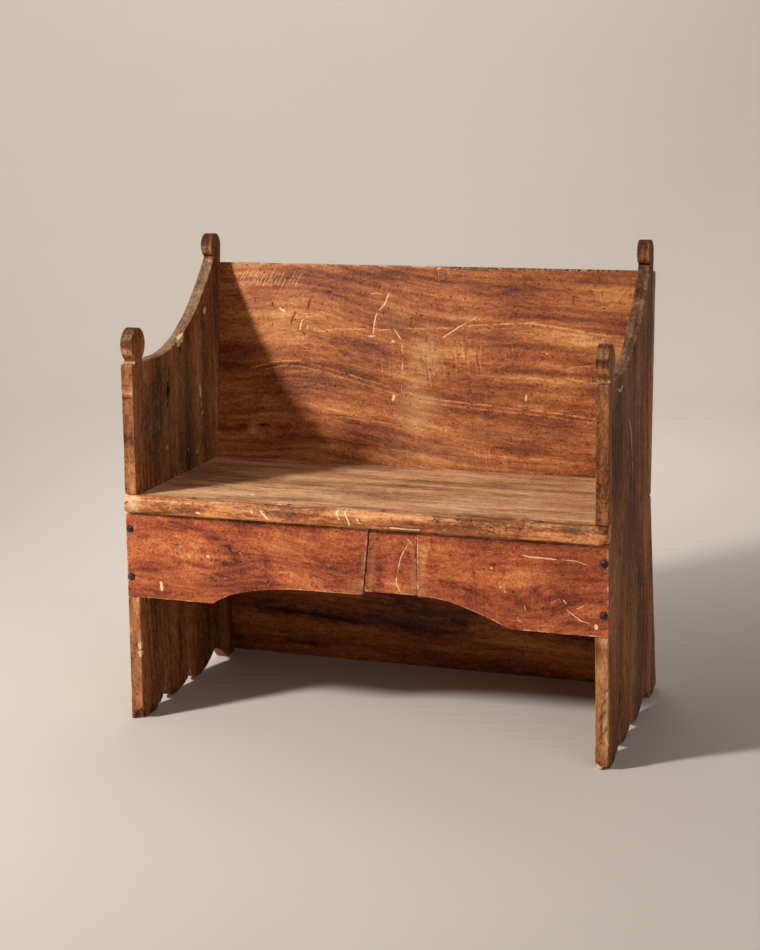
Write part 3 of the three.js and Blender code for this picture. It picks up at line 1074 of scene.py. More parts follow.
@dataclass(frozen=True)
class TimberFinish:
    """Old timber under worn varnish, on the grain and the wear that a board carries.

    The five colours run from the darkest fibres to the palest. A layer of the figure is its cycles a metre
    along the grain and across it, its strength and its octaves.
    """

    name: str
    deep: Colour
    dark: Colour
    middle: Colour
    light: Colour
    pale: Colour
    raw: Colour
    dust: tuple[Colour, Colour]
    stain: Colour
    clouds: tuple[float, ...] = (4.0, 9.0, 1.0, 1.0)
    bands: tuple[float, ...] = (4.0, 20.0, 1.15, 3.0)
    flecks: tuple[float, ...] = (45.0, 150.0, 0.55, 2.0)
    grit: tuple[float, ...] = (190.0, 260.0, 0.8, 3.0)
    streaks: tuple[float, ...] = (3.0, 75.0, 0.5, 2.0)
    stains: tuple[float, ...] = (4.0, 8.0, 0.35, 4.0)
    rings: float = 0.12
    ring_spacing: float = 0.013
    pith: tuple[float, float] = (0.05, -0.16)
    pits: float = 0.7
    worn: float = 0.6
    slant: float = 0.12
    roughness: float = 0.5
    coat: float = 0.06
    bump: float = 0.5
    gleam: float = 0.3
    shift: float = 0.0
    stops: tuple[float, ...] = (0.06, 0.3, 0.5, 0.7, 0.96)

    def layer(self, p: Palette, place: tuple[Signal, Signal, Signal], row: tuple[float, ...]) -> Signal:
        """One layer of the figure as a signed amount, centred on 0.

        Args:
            p: The palette.
            place: The grain's coordinates.
            row: Cycles a metre along and across, strength and octaves.

        Returns:
            Its amount.
        """
        x, y, z = place
        along, across, strength, detail = row
        return (p.noise(p.vector(x * along, y * across, z * across), 1, detail, 0.62) - 0.5) * strength

    def material(self) -> bpy.types.Material:
        """Builds the node tree.

        Returns:
            The material.
        """
        p = Palette(self.name)
        x, y, z = p.split(p.number("grain").other("Vector"))
        x = x + self.shift
        slow = p.noise(p.vector(x * 1.6, y * 5, z * 5)) - 0.5
        quick = p.noise(p.vector(x * 9, y * 24, z * 24)) - 0.5
        y = y + slow * 0.05 + quick * 0.008
        place = (x, y, z)
        shade, dust, warm = (p.number(t.value) for t in (SHADE, DUST, WARM))
        mottle = self.layer(p, place, (38, 80, 1, 5))
        layers = (self.bands, self.flecks, self.grit, self.clouds, self.streaks)
        bands, flecks, grit, clouds, streaks = (self.layer(p, place, row) for row in layers)
        tone = 0.5 + clouds + streaks + bands + flecks + grit
        tone = tone + warm * (0.15 + warm * 0.3) - shade * 0.42
        tone = tone - self.late_wood(p, y, z, mottle) * self.rings
        across = x * 230 + y * (230 * self.slant)
        scrape = p.noise(p.vector(across, y * 17, z * 17), rough=0.6) - 0.5
        tone = tone + p.number(SCRAPE.value) * scrape * 2.6
        fibres = (self.deep, self.dark, self.middle, self.light, self.pale)
        colour = p.ramp(tone.clamp(), self.stops, fibres)
        *where, stained, detail = self.stains
        cloud = (self.layer(p, place, (*where, 2.4, detail)) + mottle * 0.8 + 0.1).clamp()
        colour = p.blend(cloud * stained, colour, self.stain)
        film = (dust * (0.85 + mottle * 1.8 + bands + flecks)).clamp()
        colour = p.blend(film, colour, p.blend((tone * 1.1 - 0.05).clamp(), *self.dust))
        rubbed = (p.number("arris") * (0.55 + mottle * 2.6 + bands)).above(0.4, 0.9)
        colour = p.blend(rubbed * self.worn, colour, self.raw)
        pits = self.pit(p, x, y + z, 130, 0.8)
        black = (shade * (1 + mottle * 1.6)).above(0.62, 0.95)
        colour = p.blend((black + pits * self.pits).clamp(), colour, (0.01, 0.005, 0.003))
        scar = (p.number(SCAR.value) * (1 + mottle * 2.4 + flecks)).above(0.22, 0.7)
        colour = p.blend(scar * 0.92, colour, self.raw)
        gloss = self.roughness + bands * 0.2 + film * 0.2 + mottle * 0.3
        height = flecks + bands * 0.5 + grit * 0.5 + mottle * 0.6 - pits * 0.8
        coat = ((1 - film) * self.coat).clamp()
        return p.finish(
            Normal=p.bump(height, self.bump, 0.0014), Base_Color=colour, Roughness=gloss.clamp(),
            Specular_IOR_Level=self.gleam, Coat_Weight=coat, Coat_Roughness=0.28,
        )

    def late_wood(self, p: Palette, y: Signal, z: Signal, mottle: Signal) -> Signal:
        """The dark line that ends each year's ring, round a pith under the board.

        Args:
            p: The palette; not used.
            y: Place across the grain.
            z: Place through it.
            mottle: What unsettles the line.

        Returns:
            Its strength from 0 to 1.
        """
        across, deep = y - self.pith[0], z - self.pith[1]
        radius = (across * across + deep * deep) ** 0.5
        year = (radius * (1 / self.ring_spacing) + mottle * 0.9).fraction()
        return year.above(0.3, 0.8) * (1 - year.above(0.82, 1))

    def pit(self, p: Palette, x: Signal, y: Signal, scale: float, spared: float) -> Signal:
        """Small dark pits, one to a cell, of which a share is spared.

        Args:
            p: The palette.
            x: Place along the grain.
            y: Place across it.
            scale: Cells a metre.
            spared: Share without a pit.

        Returns:
            1 in a pit, else 0.
        """
        place = p.vector(x * (0.75 * scale), y * scale, 0)
        cell = p.node("ShaderNodeTexVoronoi", {"voronoi_dimensions": "2D"}, "Color", Vector=place, Scale=1)
        gap, chance = cell.other("Distance"), p.split(cell)[0]
        size = ((chance - spared) * (0.3 / (1 - spared))).clamp()
        return (1 - (gap / (size + 0.001)).above(0.55, 1)) * size.above(0.03, 0.05)


@dataclass(frozen=True)
class IronFinish:
    """Forged iron gone brown-black, rubbed brighter on its facets."""

    name: str = "forged_iron"
    scale: Colour = (0.03, 0.023, 0.021)
    rust: Colour = (0.14, 0.062, 0.036)

    def material(self) -> bpy.types.Material:
        """Builds the node tree.

        Returns:
            The material.
        """
        p = Palette(self.name)
        place = p.node("ShaderNodeTexCoord", out="Object")
        pits = p.noise(place, 900, 4, 0.65)
        bloom = p.noise(place, 180, 3, 0.6)
        colour = p.blend(bloom.above(0.45, 0.7) * 0.8, self.scale, self.rust)
        return p.finish(
            Normal=p.bump(pits, 0.6, 0.0004), Base_Color=colour, Metallic=(0.75 - bloom * 0.4).clamp(),
            Roughness=(0.3 + pits * 0.35).clamp(),
        )


@dataclass(frozen=True)
class PlainFinish:
    """The studio's matt floor and wall."""

    name: str
    colour: Colour
    roughness: float = 0.9

    def material(self) -> bpy.types.Material:
        """Builds the node tree.

        Returns:
            The material.
        """
        p = Palette(self.name)
        place = p.node("ShaderNodeTexCoord", out="Object")
        mottle = p.noise(place, 2.5, 3, 0.6)
        low = tuple(c * 0.96 for c in self.colour)
        return p.finish(Base_Color=p.blend(mottle, low, self.colour), Roughness=self.roughness)


# The timber of each board, from its darkest fibres to its palest, with its bared wood, its dust film (which
# on the left end's inner face also paints fill light) and stains
BACK_TIMBER = TimberFinish(
    name="back_timber", deep=(0.075, 0.018, 0.006), dark=(0.215, 0.055, 0.015), middle=(0.37, 0.108, 0.028),
    light=(0.54, 0.2, 0.058), pale=(0.76, 0.4, 0.15), raw=(0.86, 0.58, 0.33),
    dust=((0.3, 0.125, 0.042), (0.66, 0.35, 0.145)), stain=(0.19, 0.042, 0.016),
    bands=(4, 20, 1, 3), pith=(0.19, -0.1), ring_spacing=0.017,
)
LOWER_TIMBER = TimberFinish(
    name="lower_back_timber", deep=(0.03, 0.006, 0.002), dark=(0.13, 0.028, 0.005),
    middle=(0.3, 0.078, 0.013), light=(0.46, 0.15, 0.028), pale=(0.6, 0.27, 0.07), raw=(0.5, 0.32, 0.18),
    dust=((0.1, 0.065, 0.04), (0.3, 0.21, 0.13)), stain=(0.07, 0.018, 0.006), clouds=(2.5, 9, 0.8, 1),
    bands=(3, 22, 0.95, 3), streaks=(3, 75, 0.35, 2), roughness=0.6, coat=0.03, shift=3.1,
)
APRON_TIMBER = TimberFinish(
    name="apron_timber", deep=(0.06, 0.011, 0.005), dark=(0.2, 0.037, 0.013), middle=(0.37, 0.079, 0.025),
    light=(0.54, 0.152, 0.044), pale=(0.74, 0.35, 0.12), raw=(0.88, 0.58, 0.34),
    dust=((0.25, 0.105, 0.04), (0.5, 0.28, 0.13)), stain=(0.15, 0.024, 0.011),
    clouds=(5, 10, 0.95, 2), bands=(7, 20, 0.9, 3), flecks=(55, 140, 0.55, 2),
    grit=(210, 260, 0.85, 3), streaks=(5, 60, 0.25, 2), stains=(6, 11, 0.5, 4),
    rings=0.07, pith=(-0.03, -0.07), pits=0.6, shift=7.7,
)
SEAT_TIMBER = TimberFinish(
    name="seat_timber", deep=(0.11, 0.03, 0.01), dark=(0.29, 0.092, 0.028), middle=(0.61, 0.225, 0.072),
    light=(0.8, 0.37, 0.135), pale=(0.92, 0.62, 0.34), raw=(0.95, 0.7, 0.43),
    dust=((0.45, 0.255, 0.13), (0.97, 0.7, 0.44)), stain=(0.25, 0.085, 0.03),
    clouds=(2.6, 12, 1, 2), bands=(5, 30, 1.15, 4), flecks=(26, 200, 0.6, 2),
    streaks=(4, 110, 0.5, 2), grit=(150, 260, 0.75, 3), stains=(2.6, 14, 0.4, 4), rings=0.05,
    coat=0.04, worn=0.14, bump=0.6, shift=11.3,
)
END_TIMBER = TimberFinish(
    name="end_timber", deep=(0.035, 0.014, 0.007), dark=(0.14, 0.047, 0.019), middle=(0.295, 0.108, 0.037),
    light=(0.44, 0.182, 0.066), pale=(0.62, 0.34, 0.15), raw=(0.8, 0.56, 0.33),
    dust=((0.13, 0.082, 0.048), (0.46, 0.315, 0.185)), stain=(0.1, 0.034, 0.02),
    clouds=(2.5, 9, 1, 1), bands=(2.6, 16, 0.72, 3), flecks=(36, 130, 0.6, 2),
    grit=(170, 260, 0.8, 3), rings=0.08, streaks=(2.5, 60, 0.36, 2), roughness=0.62, coat=0,
    worn=0.4, gleam=0.1, shift=5.2,
)
BATTEN_TIMBER = TimberFinish(
    name="batten_timber", deep=(0.05, 0.028, 0.017), dark=(0.12, 0.068, 0.038), middle=(0.22, 0.13, 0.075),
    light=(0.34, 0.22, 0.13), pale=(0.46, 0.33, 0.2), raw=(0.5, 0.36, 0.22),
    dust=((0.16, 0.12, 0.08), (0.36, 0.29, 0.21)), stain=(0.12, 0.07, 0.04), roughness=0.75, coat=0,
    shift=2.4,
)


# Marks of each board: a method of Wear, the tone, the face, and then what the method takes

# The left end's marks, by depth behind the posts and height: its front face is the inner one
LEFT_END_MARKS = (
    (Wear.cut, SHADE, FRONT, (17, 9, 1, 152, 610, 155, 631, 157, 650), (6.5, 4, 1, 159, 656, 164, 680),
     (6, 3, 0.9, 151, 607, 149, 596), (7, 8, 1, 169, 33, 172, 60, 178, 86, 177, 140, 179, 182),
     (3.4, 2, 0.8, 314, 60, 316, 100, 317, 146), (9, 2.5, 0.9, 243, 475, 252, 458),
     (6, 1.5, 0.8, 231, 452, 262, 447), (5, 2.5, 1, 212, 709, 215, 702, 219, 694)),
    (Wear.cut, SCAR, FRONT, (11, 0.7, 1, 304, 618, 307, 603, 308, 588), (5, 0.4, 0.7, 309, 584, 310, 568),
     (12, 0.7, 0.8, 344, 775, 338, 768, 329, 764), (6, 0.5, 0.8, 312, 560, 313, 550),
     (5, 0.5, 0.8, 142, 520, 146, 510), (5, 0.5, 0.7, 281, 486, 283, 474),
     (4, 0.4, 0.6, 240, 496, 242, 488)),
    (Wear.cut, SHADE, BACK, (2.2, 1.2, 0.7, 90, 60, 92, 300, 90, 380), (2.4, 1.5, 0.8, 240, 470, 243, 620),
     (3, 2, 0.8, 330, 120, 334, 330)),
    (Wear.daub, SHADE, FRONT, (155, 631, 9, 22, 1), (161, 668, 4, 12, 0.8), (216, 706, 10, 8, 0.9),
     (230, 530, 60, 190, 0.34), (120, 600, 16, 130, 0.2), (330, 640, 26, 200, 0.2),
     (250, 470, 40, 34, 0.35), (176, 110, 20, 90, 0.4), (60, 200, 30, 150, 0.2)),
    (Wear.daub, WARM, FRONT, (56, 678, 15, 24, 0.6), (20, 600, 34, 130, 0.35), (110, 545, 36, 160, 0.3),
     (300, 560, 30, 180, 0.24), (40, 120, 36, 110, 0.25), (395, 640, 230, 3.6, 1, 84.6),
     (230, 120, 24, 110, 0.2)),
    # A pale film over the upper inner face: partly dust, and partly painted fill light that lightens this
    # shaded face.
    (Wear.daub, DUST, FRONT, (210, 600, 260, 260, 0.55)),
    (Wear.daub, SCAR, FRONT, (396, 640, 230, 2.6, 0.42, 84.6), (200, 452, 210, 3, 0.45)),
    (Wear.daub, WARM, BACK, (150, 450, 22, 260, 0.35), (60, 300, 16, 220, 0.3)),
    (Wear.daub, SHADE, BACK, (210, 520, 26, 220, 0.3), (350, 200, 30, 200, 0.3)),
    (Wear.daub, SHADE, EDGE, (0, 639, 9, 1.9, 0.75), (0, 664, 9, 1.6, 0.6), (0, 560, 9, 16, 0.35),
     (29, 776, 36, 15, 0.6), (6, 768, 14, 9, 0.55), (29, 709, 40, 5, 0.75), (2, 744, 12, 22, 0.45),
     (403, 905, 34, 30, 0.5), (385, 908, 12, 14, 0.5), (390, 878, 16, 5, 0.5)),
    (Wear.daub, WARM, EDGE, (0, 650, 9, 9, 0.9), (0, 728, 10, 13, 1), (381, 890, 8, 9, 0.5),
     (0, 500, 9, 30, 0.6)),
    (Wear.daub, DUST, EDGE, (-1, 758, 12, 12, 0.8)),
    (Wear.daub, SCAR, EDGE, (388, 868, 9, 7, 0.34), (379, 897, 6, 6, 0.3)),
    (Wear.chip, SCAR, (74, 0, 12.5, 12, 5, 0.5), (210, 720, 12.5, 12, 5, 0.75), (222, 729, 12.5, 13, 4, 1),
     (100, 26, 12.5, 9, 4, 0.4), (0, 150, 12.5, 9, 2.5, 1), (0, 134, 12.5, 8, 1.8, 0.9),
     (218, 22, 12.5, 10, 4, 0.5)),
    (Wear.chip, SHADE, (0, 3, 12.5, 20, 10, 0.5)),
)

# The right end's marks, by depth and height: its front face is the outer one
RIGHT_END_MARKS = (
    (Wear.cut, SHADE, FRONT, (8, 4, 1, 99, 122, 101, 92, 99, 62), (8, 3, 1, 48, 449, 51, 432),
     (10, 2.5, 1, 297, 446, 299, 424), (5, 1.4, 0.8, 262, 640, 268, 560, 266, 470),
     (7, 2.5, 0.9, 330, 330, 334, 200, 338, 120), (4, 1.4, 0.8, 160, 260, 163, 120),
     (5, 1.5, 0.85, 352, 700, 356, 540), (4, 1.4, 0.8, 30, 650, 33, 560, 31, 480)),
    (Wear.cut, SCAR, FRONT, (7, 0.5, 0.75, 186, 612, 203, 586, 210, 562, 205, 545),
     (6, 0.5, 0.6, 216, 524, 222, 500), (7, 0.5, 0.6, 78, 684, 104, 676, 132, 683),
     (6, 0.5, 0.6, 150, 716, 176, 722, 200, 716), (5, 0.4, 0.5, 120, 420, 124, 380, 121, 350),
     (5, 0.4, 0.45, 60, 250, 66, 220)),
    (Wear.daub, WARM, FRONT, (20, 560, 12, 200, 0.35), (95, 520, 16, 190, 0.4), (150, 320, 20, 220, 0.4),
     (60, 180, 16, 180, 0.45), (255, 560, 22, 210, 0.35), (340, 420, 18, 260, 0.3),
     (230, 180, 22, 160, 0.4)),
    (Wear.daub, SHADE, FRONT, (58, 560, 14, 220, 0.35), (190, 480, 26, 260, 0.34),
     (110, 200, 14, 200, 0.34), (300, 620, 22, 220, 0.38), (10, 300, 10, 300, 0.3),
     (290, 260, 26, 200, 0.3), (370, 600, 12, 260, 0.4)),
    (Wear.daub, DUST, FRONT, (130, 650, 110, 60, 0.3, 30), (340, 800, 50, 60, 0.4)),
    (Wear.daub, SHADE, BACK, (240, 530, 46, 190, 0.4), (80, 200, 60, 120, 0.3)),
    (Wear.daub, SHADE, EDGE, (2, 708, 12, 6, 0.95), (0, 745, 9, 4, 0.7), (12, 770, 14, 7, 0.5),
     (0, 500, 9, 60, 0.3), (0, 222, 9, 16, 0.5), (2, 741, 16, 9, 0.5), (403, 905, 34, 34, 0.55),
     (390, 877, 16, 4, 1)),
    (Wear.daub, WARM, EDGE, (0, 726, 10, 10, 0.7), (384, 893, 8, 9, 0.7), (0, 330, 9, 60, 0.5)),
    (Wear.daub, DUST, EDGE, (2, 758, 10, 11, 0.6)),
    (Wear.daub, SCAR, EDGE, (0, 240, 9, 6, 0.26)),
    (Wear.chip, WARM, (0, 140, 12.5, 13, 2.6, 0.6), (0, 118, 12.5, 16, 4, 0.7), (0, 92, 12.5, 18, 4.6, 0.7),
     (0, 66, 12.5, 16, 3.8, 0.7)),
    (Wear.chip, SCAR, (0, 106, 12.5, 6, 2.4, 0.5), (0, 78, 12.5, 7, 2.6, 0.45), (2, 2, 12.5, 16, 8, 0.4),
     (2, 3, -12.5, 12, 5, 0.6), (72, 0, 12.5, 10, 4, 0.4)),
)

# The seat's marks, by place along it and depth behind its nose
SEAT_MARKS = (
    # The shade patches at (0, 372), (-380, 220) and (-100, 330) are painted shade: the left end's shadow
    # over the seat's left rear, and the shade where the seat meets the back.
    (Wear.daub, SHADE, FRONT, (-60, 150, 150, 14, 0.3), (-40, 100, 240, 9, 0.26, -1),
     (200, 130, 190, 8, 0.3, 1), (-120, 44, 160, 8, 0.3), (90, 60, 80, 9, 0.36),
     (300, 70, 130, 7, 0.28, -1), (250, 250, 200, 10, 0.28), (-300, 300, 160, 16, 0.3),
     (0, 372, 480, 16, 0.45), (-380, 220, 110, 160, 0.42), (-100, 330, 330, 40, 0.36)),
    (Wear.daub, WARM, FRONT, (-250, 24, 170, 12, 0.35), (300, 22, 170, 14, 0.5), (60, 196, 240, 12, 0.34),
     (330, 170, 150, 12, 0.34), (0, 76, 170, 8, 0.34), (-320, 70, 150, 50, 0.45)),
    (Wear.daub, DUST, None, (-455, 0, 20, 26, 0.7), (-452, -8, 14, 14, 0.9), (-300, 44, 170, 40, 0.85)),
    (Wear.daub, SHADE, None, (-446, 12, 20, 14, 0.35), (462, -6, 12, 10, 0.5)),
    (Wear.cut, SCAR, FRONT, (3.4, 0.5, 1, -104, 189, -92, 188), (4.2, 0.5, 0.9, -292, 222, -279, 222),
     (3.4, 0.5, 0.8, -188, 249, -180, 249), (2.9, 0.5, 1, -62, 165, -44, 166, -28, 170),
     (3.6, 0.5, 1, 4, 165, 18, 164), (3.4, 0.5, 0.9, 32, 163, 44, 162),
     (1.9, 0.4, 0.8, -82, 152, -64, 150)),
    (Wear.cut, SHADE, FRONT, (5, 1.2, 0.8, 44, 30, 56, 24), (1.6, 0.4, 0.6, -250, 120, -120, 127),
     (1.6, 0.5, 0.6, 120, 90, 300, 84), (1.8, 0.6, 0.6, 180, 210, 400, 218),
     (1.8, 0.6, 0.6, -380, 60, -230, 66)),
)

# Scratches and pits over the rounded nose: tone, width, strength, then the path by x and way over the arris
NOSE_MARKS = (
    (SCAR, 2.6, 1, -158, 5, -132, 2, -109, 1), (SCAR, 1.7, 0.8, -109, 1, -86, -3),
    (SCAR, 2.8, 1, -58, 1, -20, 3, 16, 1), (SCAR, 2.2, 0.9, 16, 1, 57, -2, 88, 0, 128, 1),
    (SCAR, 1.8, 0.95, -34, -5, -32, -10, -29, -17), (SCAR, 1.8, 0.95, -18, -4, -13, -14, -8, -27),
    (SCAR, 1.5, 0.9, 5, -14, 9, -19, 13, -23), (SCAR, 2.6, 0.8, -186, -12, -180, -18, -172, -26),
    (SHADE, 2.2, 0.8, -178, -8, -171, -16), (SCAR, 1.6, 0.7, -206, -10, -203, -18),
    (SCAR, 1.7, 0.7, 70, -26, 110, -27, 128, -27), (SCAR, 2.4, 1, -318, -23, -312, -24),
    (SCAR, 2, 0.6, 160, 2, 220, 0, 262, 1), (SCAR, 1.6, 0.5, 300, 4, 352, 3),
    (SHADE, 1.8, 0.8, -120, 4, -112, 3), (SHADE, 2, 0.9, 40, 5, 50, 4), (SHADE, 3, 1, 161, -7, 163, -8),
    (SHADE, 2, 1, 224, -4, 225, -5), (SHADE, 2.6, 1, 316, -12, 318, -13),
)

# Marks of the apron's left board, by place along it and height
APRON_LEFT_MARKS = (
    (Wear.cut, SCAR, FRONT, (3, 0.6, 1, -370, 375, -366, 375), (5, 0.8, 1, -307, 340, -299, 340),
     (7.2, 0.3, 0.95, -404, 284, -402, 272, -401, 262), (2.5, 0.4, 0.7, -196, 392, -193, 391),
     (2.2, 0.4, 0.8, -58, 341, -54, 341), (1.9, 0.4, 0.6, -272, 298, -262, 300),
     (1.9, 0.4, 0.5, -90, 316, -64, 310), (1.5, 0.4, 0.4, -160, 320, -128, 322)),
    (Wear.cut, SHADE, FRONT, (2.6, 0.9, 1, -385, 359, -368, 358, -352, 358),
     (2, 0.7, 0.9, -378, 349, -371, 349), (3, 0.9, 0.9, -311, 292, -298, 296, -286, 293),
     (2.2, 0.9, 0.8, -296, 303, -290, 306), (3.4, 1.5, 1, -127, 352, -117, 353),
     (3.4, 1.5, 1, -51, 359, -46, 361), (2, 0.7, 0.8, -30, 356, -14, 350),
     (3.6, 1.4, 1, -239, 352, -232, 354), (3.2, 1.4, 1, -182, 297, -176, 298),
     (3, 1, 0.8, -373, 322, -367, 324), (2, 0.5, 0.6, -220, 330, -205, 334)),
    # The last shade patch here, a thin band along the board's top under the seat's nose, is painted shade.
    (Wear.daub, SHADE, None, (-332, 393, 60, 11, 0.7, -8), (-290, 378, 46, 13, 0.74, -26),
     (-256, 358, 28, 13, 0.74, -46), (-246, 342, 14, 18, 0.74), (-272, 330, 40, 10, 0.7, 2),
     (-330, 321, 56, 9, 0.64, -10), (-400, 370, 60, 50, 0.25), (-410, 306, 60, 4, 0.4, 4),
     (-230, 340, 26, 30, 0.22), (-186, 352, 9, 40, 0.42, 20), (-170, 380, 24, 5, 0.4, -20),
     (-66, 356, 60, 4, 0.4, -16), (-90, 300, 80, 5, 0.34, 2), (-24, 330, 40, 4, 0.3, -12),
     (-440, 372, 30, 8, 0.4), (-230, 412, 250, 8, 0.35)),
    (Wear.daub, WARM, None, (-355, 336, 46, 16, 0.4), (-300, 310, 40, 8, 0.4), (-110, 322, 60, 14, 0.45),
     (-100, 300, 60, 8, 0.5), (-440, 286, 40, 22, 0.5), (-400, 350, 30, 14, 0.4), (-215, 380, 40, 10, 0.3),
     (-330, 360, 30, 8, 0.4)),
    (Wear.daub, DUST, None, (19, 360, 9, 60, 0.95, -7), (12, 305, 16, 20, 0.85), (-2, 298, 26, 14, 0.5)),
)

# Marks of the apron's insert, by place along it and height
APRON_INSERT_MARKS = (
    (Wear.cut, SCAR, FRONT, (2.2, 0.5, 1, 101, 394, 93, 380, 86, 366, 80, 345, 77, 331),
     (2.9, 0.5, 1, 77, 329, 76, 318, 80, 308, 84, 300), (2.4, 0.5, 0.9, 99, 402, 106, 392),
     (1.7, 0.4, 0.5, 60, 320, 68, 312)),
    (Wear.daub, DUST, None, (31, 352, 8, 80, 0.6, -6), (110, 330, 10, 60, 0.55), (96, 300, 26, 12, 0.5)),
    # The second shade patch, a thin band along the top under the seat's nose, is painted shade.
    (Wear.daub, SHADE, None, (115, 380, 5, 36, 0.8), (70, 412, 50, 7, 0.4), (44, 330, 10, 40, 0.3)),
    (Wear.daub, WARM, None, (62, 370, 30, 50, 0.6), (70, 310, 36, 20, 0.6)),
)

# Marks of the apron's right board, by place along it and height
APRON_RIGHT_MARKS = (
    (Wear.cut, SCAR, FRONT, (3.7, 0.4, 1, 315, 388, 330, 385, 350, 385, 382, 384),
     (1.9, 0.4, 0.9, 386, 384, 414, 384, 438, 377), (1.5, 0.3, 0.5, 246, 390, 311, 389),
     (2.5, 0.5, 1, 397, 294, 405, 288, 416, 280, 428, 273, 443, 272),
     (1.8, 0.4, 0.8, 415, 296, 423, 299, 431, 304), (2.7, 0.4, 1, 391, 312, 399, 303),
     (1.8, 0.4, 0.9, 320, 297, 323, 283), (1.7, 0.4, 0.8, 306, 276, 309, 266, 317, 264),
     (8.4, 0.5, 1, 451, 272, 453, 260), (4.6, 0.4, 1, 257, 360, 261, 358),
     (4.2, 0.4, 1, 275, 327, 278, 323), (3.1, 0.4, 0.8, 283, 318, 286, 315),
     (2.5, 0.4, 0.7, 247, 292, 252, 290), (2.2, 0.4, 0.6, 372, 305, 388, 313),
     (2, 0.4, 0.6, 300, 372, 304, 371), (1.7, 0.4, 0.5, 180, 392, 186, 390)),
    (Wear.cut, SHADE, FRONT, (2.4, 0.6, 0.8, 340, 318, 346, 328, 352, 334), (3, 1, 1, 344, 353, 350, 352),
     (2.6, 1, 1, 142, 381, 146, 380), (2.6, 1, 1, 180, 376, 185, 376), (3, 1, 1, 358, 309, 362, 306),
     (2.6, 1, 0.9, 390, 354, 395, 354), (2.2, 0.8, 0.8, 226, 352, 229, 346)),
    # The fourth shade patch, a thin band along the top under the seat's nose, is painted shade.
    (Wear.daub, SHADE, None, (160, 350, 46, 6, 0.45, -8), (225, 360, 7, 46, 0.35, 8),
     (350, 330, 26, 14, 0.5, 40), (330, 408, 170, 8, 0.4), (290, 372, 60, 6, 0.35, -6),
     (200, 318, 60, 6, 0.35, -14), (420, 350, 40, 8, 0.35), (380, 292, 40, 8, 0.3), (250, 395, 70, 6, 0.3),
     (300, 310, 24, 10, 0.3), (385, 340, 100, 60, 0.32)),
    (Wear.daub, WARM, None, (366, 321, 15, 7, 0.8), (362, 300, 34, 5, 0.7, 18), (130, 360, 9, 60, 0.6),
     (430, 300, 34, 14, 0.35), (200, 390, 60, 8, 0.35), (215, 345, 90, 46, 0.3)),
    (Wear.daub, DUST, None, (124, 330, 8, 60, 0.6), (128, 300, 12, 12, 0.6)),
)

